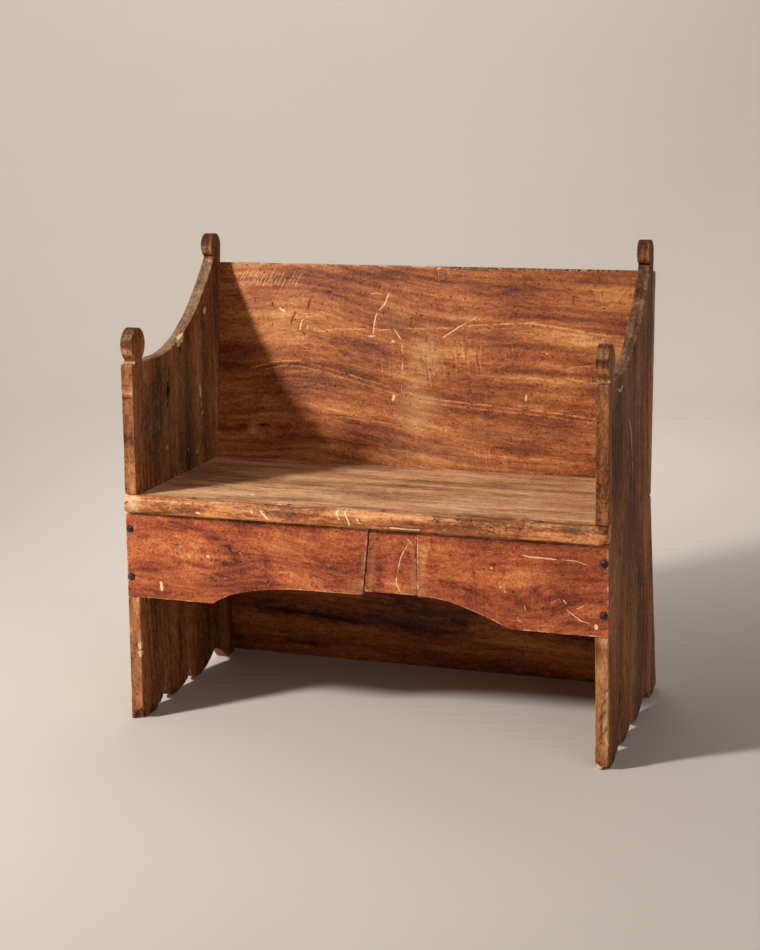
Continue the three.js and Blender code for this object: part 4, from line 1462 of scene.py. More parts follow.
# Marks of the upper back, by place along it and height over its lower edge
UPPER_BACK_MARKS = (
    (Wear.cut, SCAR, FRONT, (3.9, 0.6, 1, -72, 390, -77, 374, -83, 363, -94, 352),
     (3.4, 0.6, 1, -97, 349, -102, 332, -105, 303), (2.9, 0.5, 1, -118, 299, -98, 299),
     (2.2, 0.5, 0.8, -113, 386, -98, 389, -86, 386), (2.9, 0.5, 0.85, -61, 317, -50, 303, -43, 291),
     (2.8, 0.4, 0.8, -42, 287, -40, 262), (2.6, 0.4, 0.7, -40, 250, -41, 226),
     (2.6, 0.4, 0.7, -41, 202, -42, 186), (7.6, 0.4, 0.65, -60, 166, -56, 184),
     (3.1, 0.5, 1, 44, 300, 76, 321, 96, 333), (2.4, 0.4, 0.8, 100, 335, 118, 346),
     (5, 0.4, 1, 221, 178, 223, 186, 222, 193), (3.7, 0.4, 1, 262, 276, 266, 275),
     (4.2, 0.5, 1, -66, 290, -57, 289), (1.6, 0.4, 0.7, 34, 436, 34, 427),
     (1.4, 0.4, 0.6, 33, 420, 35, 414), (1.8, 0.4, 0.8, 48, 441, 53, 440),
     (1.6, 0.4, 0.8, 66, 439, 70, 441), (1.9, 0.4, 0.8, -431, 441, -429, 430),
     (2, 0.4, 0.7, -50, 269, -47, 268), (2.2, 0.4, 0.8, -260, 253, -257, 252),
     (6, 2, 0.8, -262, 332, -266, 320, -268, 305), (6.8, 1.8, 0.8, -317, 353, -309, 349, -301, 344),
     (3.4, 1, 0.8, -250, 322, -253, 308)),
    (Wear.cut, SHADE, FRONT, (4.6, 1.4, 0.62, -244, 374, -248, 360, -249, 348),
     (4.8, 1.6, 0.66, -276, 346, -284, 330, -287, 316), (4.4, 1.4, 0.62, -331, 365, -326, 353),
     (4, 1.2, 0.62, -345, 367, -339, 365), (3.4, 1.6, 0.9, -258, 303, -256, 296),
     (3, 1.2, 0.9, -92, 397, -88, 404), (3, 1, 0.9, -206, 388, -196, 386),
     (2.2, 0.8, 0.8, 318, 374, 316, 391), (2, 0.8, 0.8, 350, 408, 354, 396),
     (1.8, 0.7, 0.7, 376, 402, 375, 391), (4.2, 3, 1, -351, 104, -342, 106, -331, 102),
     (2.2, 1.5, 0.9, -410, 93, -398, 92), (2.2, 0.6, 0.8, -250, 88, -120, 72, -20, 66),
     (2.2, 0.6, 0.8, 40, 62, 180, 54, 300, 52), (2, 0.6, 0.7, -200, 132, -80, 124, 20, 112)),
    (Wear.daub, DUST, FRONT, (8, 262, 42, 70, 0.8), (-4, 150, 50, 80, 0.9), (20, 60, 160, 34, 0.4),
     (170, 110, 130, 18, 0.34), (-50, 330, 44, 30, 0.26)),
    (Wear.daub, WARM, FRONT, (-10, 160, 80, 70, 0.3), (170, 128, 200, 20, 0.35), (-300, 345, 60, 34, 0.36),
     (-20, 345, 120, 22, 0.3), (250, 385, 170, 12, 0.36), (100, 400, 140, 10, 0.3),
     (160, 62, 150, 12, 0.45), (-180, 180, 140, 14, 0.3), (330, 96, 140, 60, 0.32),
     (290, 300, 120, 20, 0.3, -3)),
    (Wear.daub, SHADE, FRONT, (270, 288, 150, 14, 0.2, -3), (200, 240, 110, 12, 0.3, -4),
     (-140, 278, 100, 22, 0.36, -5), (-190, 330, 90, 12, 0.2), (-310, 420, 130, 32, 0.5, 4),
     (-150, 422, 200, 14, 0.36), (60, 418, 120, 10, 0.34), (-70, 428, 60, 9, 0.45),
     (350, 420, 100, 14, 0.4), (330, 350, 120, 8, 0.2, -3), (60, 362, 120, 6, 0.26),
     (-300, 99, 50, 8, 0.62, 3), (-415, 92, 46, 7, 0.6, 8), (-372, 78, 26, 8, 0.3),
     (150, 84, 300, 8, 0.3, -3), (-100, 70, 330, 14, 0.34, -4), (200, 30, 260, 10, 0.34),
     (370, 200, 90, 10, 0.3), (-349, 104, 12, 3.4, 1, 4), (-392, 100, 16, 2.4, 0.8, -8)),
    (Wear.daub, WARM, FRONT, (-370, 92, 17, 12, 1)),
    (Wear.daub, SCRAPE, FRONT, (100, 262, 70, 40, 0.5), (20, 240, 50, 70, 0.42), (-80, 250, 40, 40, 0.25),
     (190, 270, 50, 24, 0.3), (150, 60, 90, 40, 0.3)),
    (Wear.daub, SHADE, BACK, (0, 300, 380, 190, 0.3)),
    (Wear.daub, DUST, BACK, (-100, 200, 420, 220, 0.5)),
)

# Pale lines along the grain of the upper back: drop, strength, then the path
GRAIN_LINES = (
    (0, 1, -380, 222, -341, 233, -308, 241, -266, 242, -198, 228, -132, 211, -62, 195),
    (10.5, 0.8, -345, 232, -308, 241, -266, 242, -198, 228, -132, 211, -30, 187),
    (0, 1, -30, 187, 2, 177, 74, 171, 169, 165, 216, 161),
    (9, 0.9, -24, 185, 2, 177, 74, 171, 169, 165, 252, 160, 368, 149, 450, 143),
    (0, 0.9, 228, 161, 252, 160, 368, 149, 450, 143),
    (0, 0.7, -300, 293, -267, 301, -230, 305, -177, 312, -122, 313), (0, 0.9, -96, 312, -66, 314),
    (0, 0.9, -36, 317, 40, 320, 60, 321),
    (0, 0.9, 94, 326, 166, 332, 228, 336, 290, 328, 371, 317, 440, 314),
    (9, 0.6, 110, 326, 166, 332, 228, 336, 290, 328, 371, 317, 440, 314),
    (0, 0.8, 452, 262, 372, 257, 320, 251, 292, 244), (0, 0.8, 296, 229, 322, 225, 367, 219, 440, 214),
)

# How far the upper back's grain rises and falls along it
GRAIN_RUN = ((-475, 10), (-390, 4), (-285, 22), (-200, 10), (-60, -20), (70, -42), (240, -52), (475, -62))

# Marks of the lower back, by place along it and height over its lower edge
LOWER_BACK_MARKS = (
    (Wear.cut, SHADE, FRONT, (7, 1.4, 0.9, -330, 104, -290, 101, -252, 99),
     (5, 1, 0.9, -246, 97, -150, 88)),
    (Wear.daub, SHADE, FRONT, (-330, 102, 90, 9, 0.8, -2), (-190, 94, 90, 8, 0.85, -6),
     (-245, 99, 40, 14, 0.9), (74, 108, 26, 12, 0.85), (-280, 30, 80, 7, 0.7, -4),
     (150, 60, 220, 6, 0.4, -3), (120, 150, 260, 7, 0.4, -3), (-60, 60, 180, 6, 0.4, -2),
     (260, 100, 160, 7, 0.35, -3)),
    (Wear.daub, WARM, FRONT, (160, 100, 260, 30, 0.4), (-60, 110, 120, 26, 0.3)),
    (Wear.daub, DUST, BACK, (0, 200, 440, 200, 0.5)),
)


# Finer stretches of an end's outline: from and to a depth, from and to a height, and the distance
END_WINDOWS = (
    (-1, 1, 600, 690, 2.2), (-1, 6, 0, 200, 2.4), (-1, 62, 703, 776, 1.9), (186, 245, 690, 745, 2.2),
    (372, 432, 860, 926, 1.9),
)


# Sub-assemblies

ALONG_X = Vector((1, 0, 0))
ALONG_Y = Vector((0, 1, 0))
ALONG_Z = Vector((0, 0, 1))


def dress(piece: Piece, material: bpy.types.Material, slot: str, *nodes: str) -> None:
    """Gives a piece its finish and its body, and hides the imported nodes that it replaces.

    Args:
        piece: The piece.
        material: Its finish.
        slot: Not used.
        nodes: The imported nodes.
    """
    piece.data.materials.clear()
    piece.data.materials.append(material)
    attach(piece, BODY)
    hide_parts(*nodes)
    log.info("%s rides on %s and replaces %s", piece.name, BODY, ", ".join(nodes))


def nail_axis(node: str) -> tuple[Vector, Vector]:
    """Where a packed nail's head peaks, and which way it faces, in metres.

    Args:
        node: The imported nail.

    Returns:
        Its peak and its direction.
    """
    corners = np.array([v.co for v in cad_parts[node].data.vertices])
    middle = corners.mean(axis=0)
    heading = np.linalg.svd(corners - middle, full_matrices=False)[2][0]
    along = (corners - middle) @ heading
    spread = np.linalg.norm(corners - middle - along[:, None] * heading, axis=1)
    if along[spread > 0.8 * spread.max()].mean() < 0:
        heading, along = -heading, -along
    return Vector(corners[along > along.max() - 1e-6].mean(axis=0)), Vector(heading)


def box_mm(node: str) -> tuple[Vector, Vector]:
    """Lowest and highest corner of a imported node, in millimetres."""
    low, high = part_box(node)
    return low / MM, high / MM


def between(values: Array, low: float, high: float) -> Array:
    """Tells which values lie between two bounds."""
    return (values > low) & (values < high)


@dataclass
class Ends:
    """The two plank ends, with their finials, sweeps and scalloped feet."""

    arris: float = 1.6
    half: float = 12.5
    rim: float = 11.6
    post_depth: float = 62.0
    post_top: float = 706.0
    sweep_depth: Place = (52.0, 398.0)
    sweep_height: Place = (690.0, 872.0)
    torn: Place = (44.0, 155.0)

    def build(self) -> None:
        """Builds and dresses both ends."""
        material = END_TIMBER.material()
        for name, shown in (("left_end", -1), ("right_end", 1)):
            low, high = box_mm(name)
            y = low.y
            inner, outer = (FRONT, BACK) if shown < 0 else (BACK, FRONT)
            wear = Wear(shift=(y, 0), bores=self.bores(y, shown, inner, outer))
            wear.lay(LEFT_END_MARKS if shown < 0 else RIGHT_END_MARKS)
            fine = [((y + a, c), (y + b, d), step) for a, b, c, d, step in END_WINDOWS]
            plank = Plank(
                name=f"{name}_board", outline=outline_of(name, 0, shown > 0, (1, 2)), fine=fine,
                thickness=high.x - low.x, origin=Vector(((low.x + high.x) / 2, 0, 0)),
                axes=(ALONG_Y, ALONG_Z, ALONG_X), wear=wear, arris=self.arris,
                figure=Figure(upright=True, sway=12, wavelength=420, seed=31 + shown),
                paint=partial(self.paint, front=y, shown=shown), layer=2.1, arc_steps=4,
                pitch={inner: 5.5, outer: 6.5}, seed=40 + 10 * shown,
            )
            dress(plank.build(), material, "end_timber", name)

    def paint(self, local: Array, tones: Tones, front: float, shown: int) -> None:
        """Paints the surfaces of a board's edge, and darkens the board towards the floor.

        Args:
            local: Places on the board.
            tones: Its tones, which are changed.
            front: Where the posts' front lies.
            shown: 1 if the outer face looks towards +X, else -1.
        """
        depth, height, level = local[:, 0] - front, local[:, 1], local[:, 2]
        cloud = ripple(local, 46, 12)
        rim = np.abs(level) < self.rim
        sweep = rim & between(depth, *self.sweep_depth) & between(height, *self.sweep_height)
        face = rim & (depth < 8) & (height < self.post_top)
        shelf = rim & (depth < self.post_depth) & between(height, 698, 709)
        if shown < 0:
            lay(tones, (DUST, sweep, 0.72 + 0.2 * cloud), (WARM, face, 0.3 + 0.25 * cloud))
        else:
            split = np.clip((155 - height) / 34, 0, 1) * np.clip((height - 42) / 20, 0, 1)
            split = self.half - 12 * split + 1.6 * cloud
            torn = (depth < 10) & between(height, *self.torn)
            lay(
                tones, (DUST, sweep, 0.5 + 0.3 * cloud), (SHADE, sweep & (np.abs(level - 3) < 1.8), 0.62),
                (SHADE, sweep, 0.3 - 0.2 * cloud), (WARM, face & (height < 250), 0.5 + 0.2 * cloud),
                (WARM, face & (height > 440), 0.22 + 0.2 * cloud), (WARM, torn & (level > split), 0.9),
                (SCAR, torn & (level > split), 0.22 + 0.2 * ripple(local, 11, 15)),
                (SHADE, torn & (np.abs(level - split) < 1.1), 0.72),
            )
        lay(tones, (SCAR, shelf, 0.5 + 0.2 * cloud))
        lay(tones, (SHADE, height < 30, 0.4 * (1 - ease(height, 0, 30))))

    def bores(self, front: float, shown: int, inner: Side, outer: Side) -> list[Bore]:
        """Wormholes, and the recesses of the nails driven into the seat.

        Args:
            front: Where the posts' front lies.
            shown: 1 for the right end, else -1.
            inner: The face towards the seat.
            outer: The other face.

        Returns:
            The holes.
        """
        holes = wormholes(60 + shown, 18, (front + 20, 60), (front + 360, 640), inner)
        holes += wormholes(70 + shown, 22, (front + 20, 60), (front + 360, 640), outer)
        side = "left" if shown < 0 else "right"
        for k in (1, 2):
            peak = nail_axis(f"{side}_seat_nail_{k}")[0] / MM
            holes.append(recess((peak.y, peak.z), 0.8, outer))
        return holes


@dataclass
class Seat:
    """The thick seat board with its worn nose and its two ears."""

    nose_top: float = 11.0
    nose_bottom: float = 6.0
    side_arris: float = 2.2
    corner_arris: float = 2.4
    ear_radius: float = 9.0
    recline: float = 5.4
    clearance: float = 0.3
    flat_from: float = 12.0
    reach: float = 13.0

    def __post_init__(self) -> None:
        """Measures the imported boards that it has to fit."""
        self.low, self.high = box_mm("seat")
        self.front = self.low.y
        self.inner = -box_mm("left_end")[1].x - self.clearance
        self.notch = box_mm("apron_left")[1].y - self.clearance
        self.thickness = self.high.z - self.low.z
        self.slope = math.tan(math.radians(self.recline))
        self.rear = self.high.y - self.thickness * self.slope

    def build(self) -> None:
        """Builds and dresses the seat."""
        low, high, front = self.low, self.high, self.front
        plank = Plank(
            name="seat_board", outline=self.outline(), thickness=self.thickness,
            origin=Vector((0, 0, 0.5 * (low.z + high.z))), axes=(ALONG_X, ALONG_Y, ALONG_Z),
            figure=Figure(sway=10, wavelength=600, seed=52), wear=self.wear(front + self.flat_from),
            arris_at=self.arris_at, bend=self.bend, paint=self.paint, step=3.2,
            fine=(((low.x, front - 1), (high.x, front + 1), 1.9),), lumps=0.14, layer=2.2, arc_steps=9,
            waviness=0.9, wobble=0.5, pitch={FRONT: 4.8, BACK: 12}, seed=55,
        )
        dress(plank.build(), SEAT_TIMBER.material(), "seat_timber", "seat")

    def outline(self) -> Array:
        """Plan of the seat, with its ears run out over the ends.

        Returns:
            Its corners.
        """
        low, high, r = self.low, self.high, self.ear_radius
        turns = np.linspace(0, QUARTER_TURN, 7)
        left = [(low.x + r - r * math.cos(t), low.y + r - r * math.sin(t)) for t in turns]
        right = [(high.x - r + r * math.sin(t), low.y + r - r * math.cos(t)) for t in turns]
        rest = [(high.x, self.notch), (self.inner, self.notch), (self.inner, self.rear)]
        rest += [(-self.inner, self.rear), (-self.inner, self.notch), (low.x, self.notch)]
        return np.array(left + right + rest)

    def arris_at(self, loop: Array, side: Side) -> Array:
        """Wide along the nose, tight elsewhere.

        Args:
            loop: The outline.
            side: The face.

        Returns:
            One radius for each point.
        """
        nose = 1 - ease(loop[:, 1], self.front + 1, self.front + 14)
        nose = nose * ease(self.high.x - np.abs(loop[:, 0]), 4, 34)
        corner = 1 - ease(loop[:, 1], self.front + 6, self.front + 30)
        wide = (self.nose_top if side is FRONT else self.nose_bottom) - self.side_arris - self.corner_arris
        return self.side_arris + corner * self.corner_arris + wide * nose

    def bend(self, local: Array) -> Array:
        """Leans the rear edge to the back and hollows the seat slightly.

        Args:
            local: Places on the board.

        Returns:
            The moved places.
        """
        x, y, z = local.T
        moved = local.copy()
        moved[:, 1] += ease(y, self.rear - 40, self.rear - 2) * (z + 0.5 * self.thickness) * self.slope
        dish = np.exp(-((x / 300) ** 2)) * np.exp(-(((y - self.front - 120) / 120) ** 2))
        moved[:, 2] -= np.where(z > 8, 1.2 * dish, 0)
        return moved

    def paint(self, local: Array, tones: Tones) -> None:
        """Greys the top behind the nose, paints a highlight on the nose's upper part towards its left end,
        darkens the nose's middle and its lower band, and darkens the underside.

        Args:
            local: Places on the board.
            tones: Its tones, which are changed.
        """
        (x, y, z), top = local.T, 0.5 * self.thickness
        across = 0.5 + 0.5 * ripple(local[:, :2] * (0.35, 1), 34, 6)
        behind = ease(y - self.front + 3 * ripple(local[:, :2], 40, 5), 12, 34)
        edge = ease(-x, self.inner - 12, self.inner - 1) + 0.7 * ease(y, self.rear - 10, self.rear)
        cloud = 0.5 + 0.5 * ripple(local, 60, 8)
        nose = y < self.front + 14
        lay(
            tones, (DUST, z > top - 2.5, behind * np.clip(0.34 + 0.36 * across + 0.5 * edge, 0, 1)),
            # Painted highlight: the nose's upper part is lightened towards its left end.
            (WARM, nose, 0.45 * ease(-x, 150, 330) * ease(z, -6, 10)),
            (SHADE, nose, (0.14 + 0.12 * cloud) * (0.7 + 0.3 * ease(-z, -6, 8))),
            (SHADE, nose, 0.55 * np.exp(-(((x + 20) / 150) ** 2))), (SHADE, z < 1 - top, 0.35),
        )
        self.paint_nose(local, tones)

    def paint_nose(self, local: Array, tones: Tones) -> None:
        """Paints the scratches and dark pits over the rounded nose, by x and way over the arris.

        Args:
            local: Places on the board.
            tones: Its tones, which are changed.
        """
        top, front, reach = 0.5 * self.thickness, self.front, self.reach
        near = (local[:, 1] < front + 2 * reach) & (local[:, 2] > 1 - top)
        x, y, z = local[near].T
        way = np.where(y < front + reach, -np.hypot(y - front, z - top), y - front - reach)
        chart = np.column_stack([x, way])
        rng = np.random.default_rng(17)
        starts = rng.uniform(150, 455, 34)
        pits = [(x, -rng.uniform(1, 13), x + rng.uniform(1, 3), -rng.uniform(1, 13)) for x in starts]
        rows = [(SHADE, rng.uniform(0.8, 1.7), 1, x, y, x2, y) for x, y, x2, _ in pits]
        for tone, width, strength, *path in (*rows, *NOSE_MARKS):
            gap = distance_to(chart, np.reshape(path, (-1, 2)).astype(float), closed=False)
            weight = strength * (1 - ease(gap, 0.35 * width, width))
            tones[tone][near] = np.maximum(tones[tone][near], weight)

    def wear(self, y: float) -> Wear:
        """Gathers the marks of the seat, its worn corners and the small scratches strewn over its top.

        Args:
            y: Where the flat of the seat begins.

        Returns:
            The marks.
        """
        wear = Wear(shift=(0, y), bores=self.bores(y))
        wear.lay(SEAT_MARKS)
        side, top = self.high.x, 0.5 * self.thickness
        wear.chip(DUST, (3 - side, -9, top, 16, 5, 0.5))
        wear.chip(SHADE, (side - 3, -9, top, 15, 4, 0.3), (side - 2, -9, -top, 12, 4, 0.4))
        rng = np.random.default_rng(9)
        for _ in range(80):
            x, depth, length = rng.uniform(-420, 430), rng.uniform(24, 350), rng.uniform(4, 24)
            tone = SCAR if rng.uniform() < 0.55 else SHADE
            path = ((x, y + depth), (x + length, y + depth + rng.uniform(-1.5, 1.5)))
            wear.strokes.append(Stroke(path, rng.uniform(1.2, 2.6), 0.4, tone, rng.uniform(0.4, 0.8)))
        return wear

    def bores(self, y: float) -> list[Bore]:
        """Wormholes behind the nose, and the recesses of the nails into the apron.

        Args:
            y: Where the flat of the seat begins.

        Returns:
            The holes.
        """
        holes = wormholes(81, 70, (120, y + 8), (440, y + 30))
        holes += wormholes(82, 30, (-430, y + 10), (440, y + 330))
        for k in range(1, 6):
            peak = nail_axis(f"seat_top_nail_{k}")[0] / MM
            holes = [h for h in holes if math.dist(h.centre, (peak.x, peak.y)) > 9]
            holes.append(recess((peak.x, peak.y), 0.75))
        return holes


@dataclass
class Apron:
    """The apron's three boards and the batten that joins them from behind."""

    arris: float = 1.2

    def build(self) -> None:
        """Builds and dresses the apron."""
        material = APRON_TIMBER.material()
        left_knots = (Knot((-330, 335), (90, 45), 26), Knot((-140, 352), (70, 40), -14))
        right_knots = (Knot((345, 312), (60, 36), 16), Knot((190, 350), (80, 40), -10))
        boards = (
            ("apron_left", APRON_LEFT_MARKS, left_knots),
            ("apron_insert", APRON_INSERT_MARKS, ()),
            ("apron_right", APRON_RIGHT_MARKS, right_knots),
        )
        for number, (name, marks, knots) in enumerate(boards):
            low, high = box_mm(name)
            holes = wormholes(90 + number, 16, (low.x + 12, low.z + 40), (high.x - 12, high.z - 12))
            wear = Wear(bores=holes)
            wear.lay(marks)
            plank = Plank(
                name=f"{name}_board", outline=outline_of(name, 1, False, (0, 2)), thickness=high.y - low.y,
                origin=Vector((0, 0.5 * (low.y + high.y), 0)), axes=(ALONG_X, ALONG_Z, -ALONG_Y),
                figure=Figure(sway=14, wavelength=300, seed=61 + number, knots=knots), wear=wear,
                arris=self.arris, step=3.5, pitch={FRONT: 3.8, BACK: 10}, seed=65 + 9 * number,
            )
            dress(plank.build(), material, "apron_timber", name)
        self.build_batten()

    def build_batten(self) -> None:
        """Builds and dresses the batten."""
        low, high = box_mm("apron_batten")
        plank = Plank(
            name="apron_batten_board", outline=rectangle((low.x, low.z), (high.x, high.z)),
            thickness=high.y - low.y, origin=Vector((0, 0.5 * (low.y + high.y), 0)),
            axes=(ALONG_X, ALONG_Z, -ALONG_Y), figure=Figure(sway=5, seed=77),
            wear=Wear(bores=wormholes(79, 10, (low.x + 8, low.z + 8), (high.x - 8, high.z - 8), BACK)),
            arris=1.8, pitch={FRONT: 10, BACK: 7}, seed=78,
        )
        dress(plank.build(), BATTEN_TIMBER.material(), "batten_timber", "apron_batten")


@dataclass
class Back:
    """The two boards nailed on behind: one reclined above the seat, one splayed below it."""

    recline: float = 5.4
    splay: float = 9.5
    upper_thickness: float = 24.0
    lower_thickness: float = 22.0
    arris: float = 1.5

    def build(self) -> None:
        """Builds and dresses both boards."""
        self.build_upper()
        self.build_lower()

    @staticmethod
    def level(local: Array, half: float, slope: float, reach: float = math.inf) -> Array:
        """Planes the edges of a leaning board level.

        Args:
            local: Places on the board.
            half: Half its thickness.
            slope: How far it leans for each millimetre through it.
            reach: How far up from its lower edge it is planed.

        Returns:
            The moved places.
        """
        moved = local.copy()
        moved[:, 1] += (half - local[:, 2]) * slope * (1 - ease(local[:, 1], 0, reach))
        return moved

    def build_upper(self) -> None:
        """Builds and dresses the upper board."""
        low, high = box_mm("upper_back")
        angle = math.radians(self.recline)
        up = Vector((0, math.sin(angle), math.cos(angle)))
        face = Vector((0, -math.cos(angle), math.sin(angle)))
        length = (high.z - low.z) / math.cos(angle)
        half = 0.5 * self.upper_thickness
        holes = wormholes(24, 56, (-440, 30), (450, length - 20))
        wear = Wear(bores=holes + wormholes(26, 30, (-440, 30), (440, length - 20), BACK))
        wear.lay(UPPER_BACK_MARKS)
        wear.daub(WARM, EDGE, (-240, length, 230, 9, 0.5))
        self.hatch(wear, length)
        self.draw_grain(wear)
        self.gnaw(wear, length)
        figure = Figure(sway=6, seed=21, knots=(Knot((-360, 95), (80, 34), 18),), path=GRAIN_RUN)
        plank = Plank(
            name="upper_back_board", outline=rectangle((low.x, 0), (high.x, length)),
            thickness=self.upper_thickness, origin=Vector((0, low.y, low.z)) - face * half,
            axes=(ALONG_X, up, face), figure=figure, wear=wear, arris=self.arris,
            bend=partial(self.level, half=half, slope=math.tan(angle), reach=40),
            fine=(((-40, length - 1), (460, length + 1), 1.8),), layer=3, seed=22,
            pitch={FRONT: 4.4, BACK: 10},
        )
        dress(plank.build(), BACK_TIMBER.material(), "back_timber", "upper_back")

    def build_lower(self) -> None:
        """Builds and dresses the lower board."""
        low, high = box_mm("lower_back")
        angle = math.radians(self.splay)
        up = Vector((0, -math.sin(angle), math.cos(angle)))
        face = Vector((0, -math.cos(angle), -math.sin(angle)))
        length = (high.z - low.z) / math.cos(angle)
        half = 0.5 * self.lower_thickness
        wear = Wear(bores=wormholes(29, 30, (-440, 30), (440, length - 30)))
        wear.lay(LOWER_BACK_MARKS)
        knots = (Knot((-240, 100), (120, 40), 24), Knot((74, 110), (50, 26), 16))
        plank = Plank(
            name="lower_back_board", outline=rectangle((low.x, 0), (high.x, length)),
            thickness=self.lower_thickness, origin=Vector((0, low.y, high.z)) - up * length - face * half,
            axes=(ALONG_X, up, face), figure=Figure(sway=10, seed=27, knots=knots), wear=wear, seed=28,
            bend=partial(self.level, half=half, slope=-math.tan(angle)),
        )
        dress(plank.build(), LOWER_TIMBER.material(), "lower_back_timber", "lower_back")

    def hatch(self, wear: Wear, top: float) -> None:
        """Adds the slanted cuts under the top edge.

        Args:
            wear: What gathers them.
            top: Height of the board's top edge.
        """
        rng = np.random.default_rng(14)
        for k in range(25):
            x, foot, reach = -408 + 5.3 * k, top - 46 + rng.uniform(-6, 6), rng.uniform(20, 34)
            path = ((x, foot), (x + 0.55 * reach, foot + reach))
            wear.strokes.append(Stroke(path, rng.uniform(1.1, 1.5), 0.4, SCAR, rng.uniform(0.4, 0.75)))

    def draw_grain(self, wear: Wear) -> None:
        """Adds the pale lines that run with the grain, as stretches of uneven strength.

        Args:
            wear: What gathers them.
        """
        rng = np.random.default_rng(5)
        for drop, strength, *path in GRAIN_LINES:
            corners = np.reshape(path, (-1, 2)) - (0, drop)
            length = np.concatenate([[0], np.cumsum(np.linalg.norm(np.diff(corners, axis=0), axis=1))])
            at = 0
            while at < length[-1] - 12:
                reach = min(rng.uniform(34, 80), length[-1] - at)
                stops = np.linspace(at, at + reach, 5)
                x, y = (np.interp(stops, length, corners[:, k]).tolist() for k in (0, 1))
                strokes = Stroke(tuple(zip(x, y)), 4.4, 0.15, WARM, strength * rng.uniform(0.75, 1))
                wear.strokes.append(strokes)
                at += reach + 1.5

    def gnaw(self, wear: Wear, top: float) -> None:
        """Adds small pits eaten into the top edge, in clusters.

        Args:
            wear: What gathers them.
            top: Height of the board's top edge.
        """
        rng = np.random.default_rng(33)
        level = 0.5 * self.upper_thickness
        wear.chip(SCAR, (34, top, level, 6, 3, 0.7))
        for centre in (86, 118, 152, 172, 214, 236, 268, 302, 336, 362, 398):
            for _ in range(6):
                place = (centre + rng.normal(0, 12), top, level - rng.uniform(0, 5))
                wear.bites.append(Bite(place, rng.uniform(1.8, 4.2), rng.uniform(1, 2.6), SHADE, 1))


@dataclass(frozen=True)
class NailKind:
    """Sizes of one kind of forged nail, in millimetres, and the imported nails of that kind."""

    name: str
    nodes: tuple[str, ...]
    head: float
    rise: float
    length: float
    shank: float
    seed: int


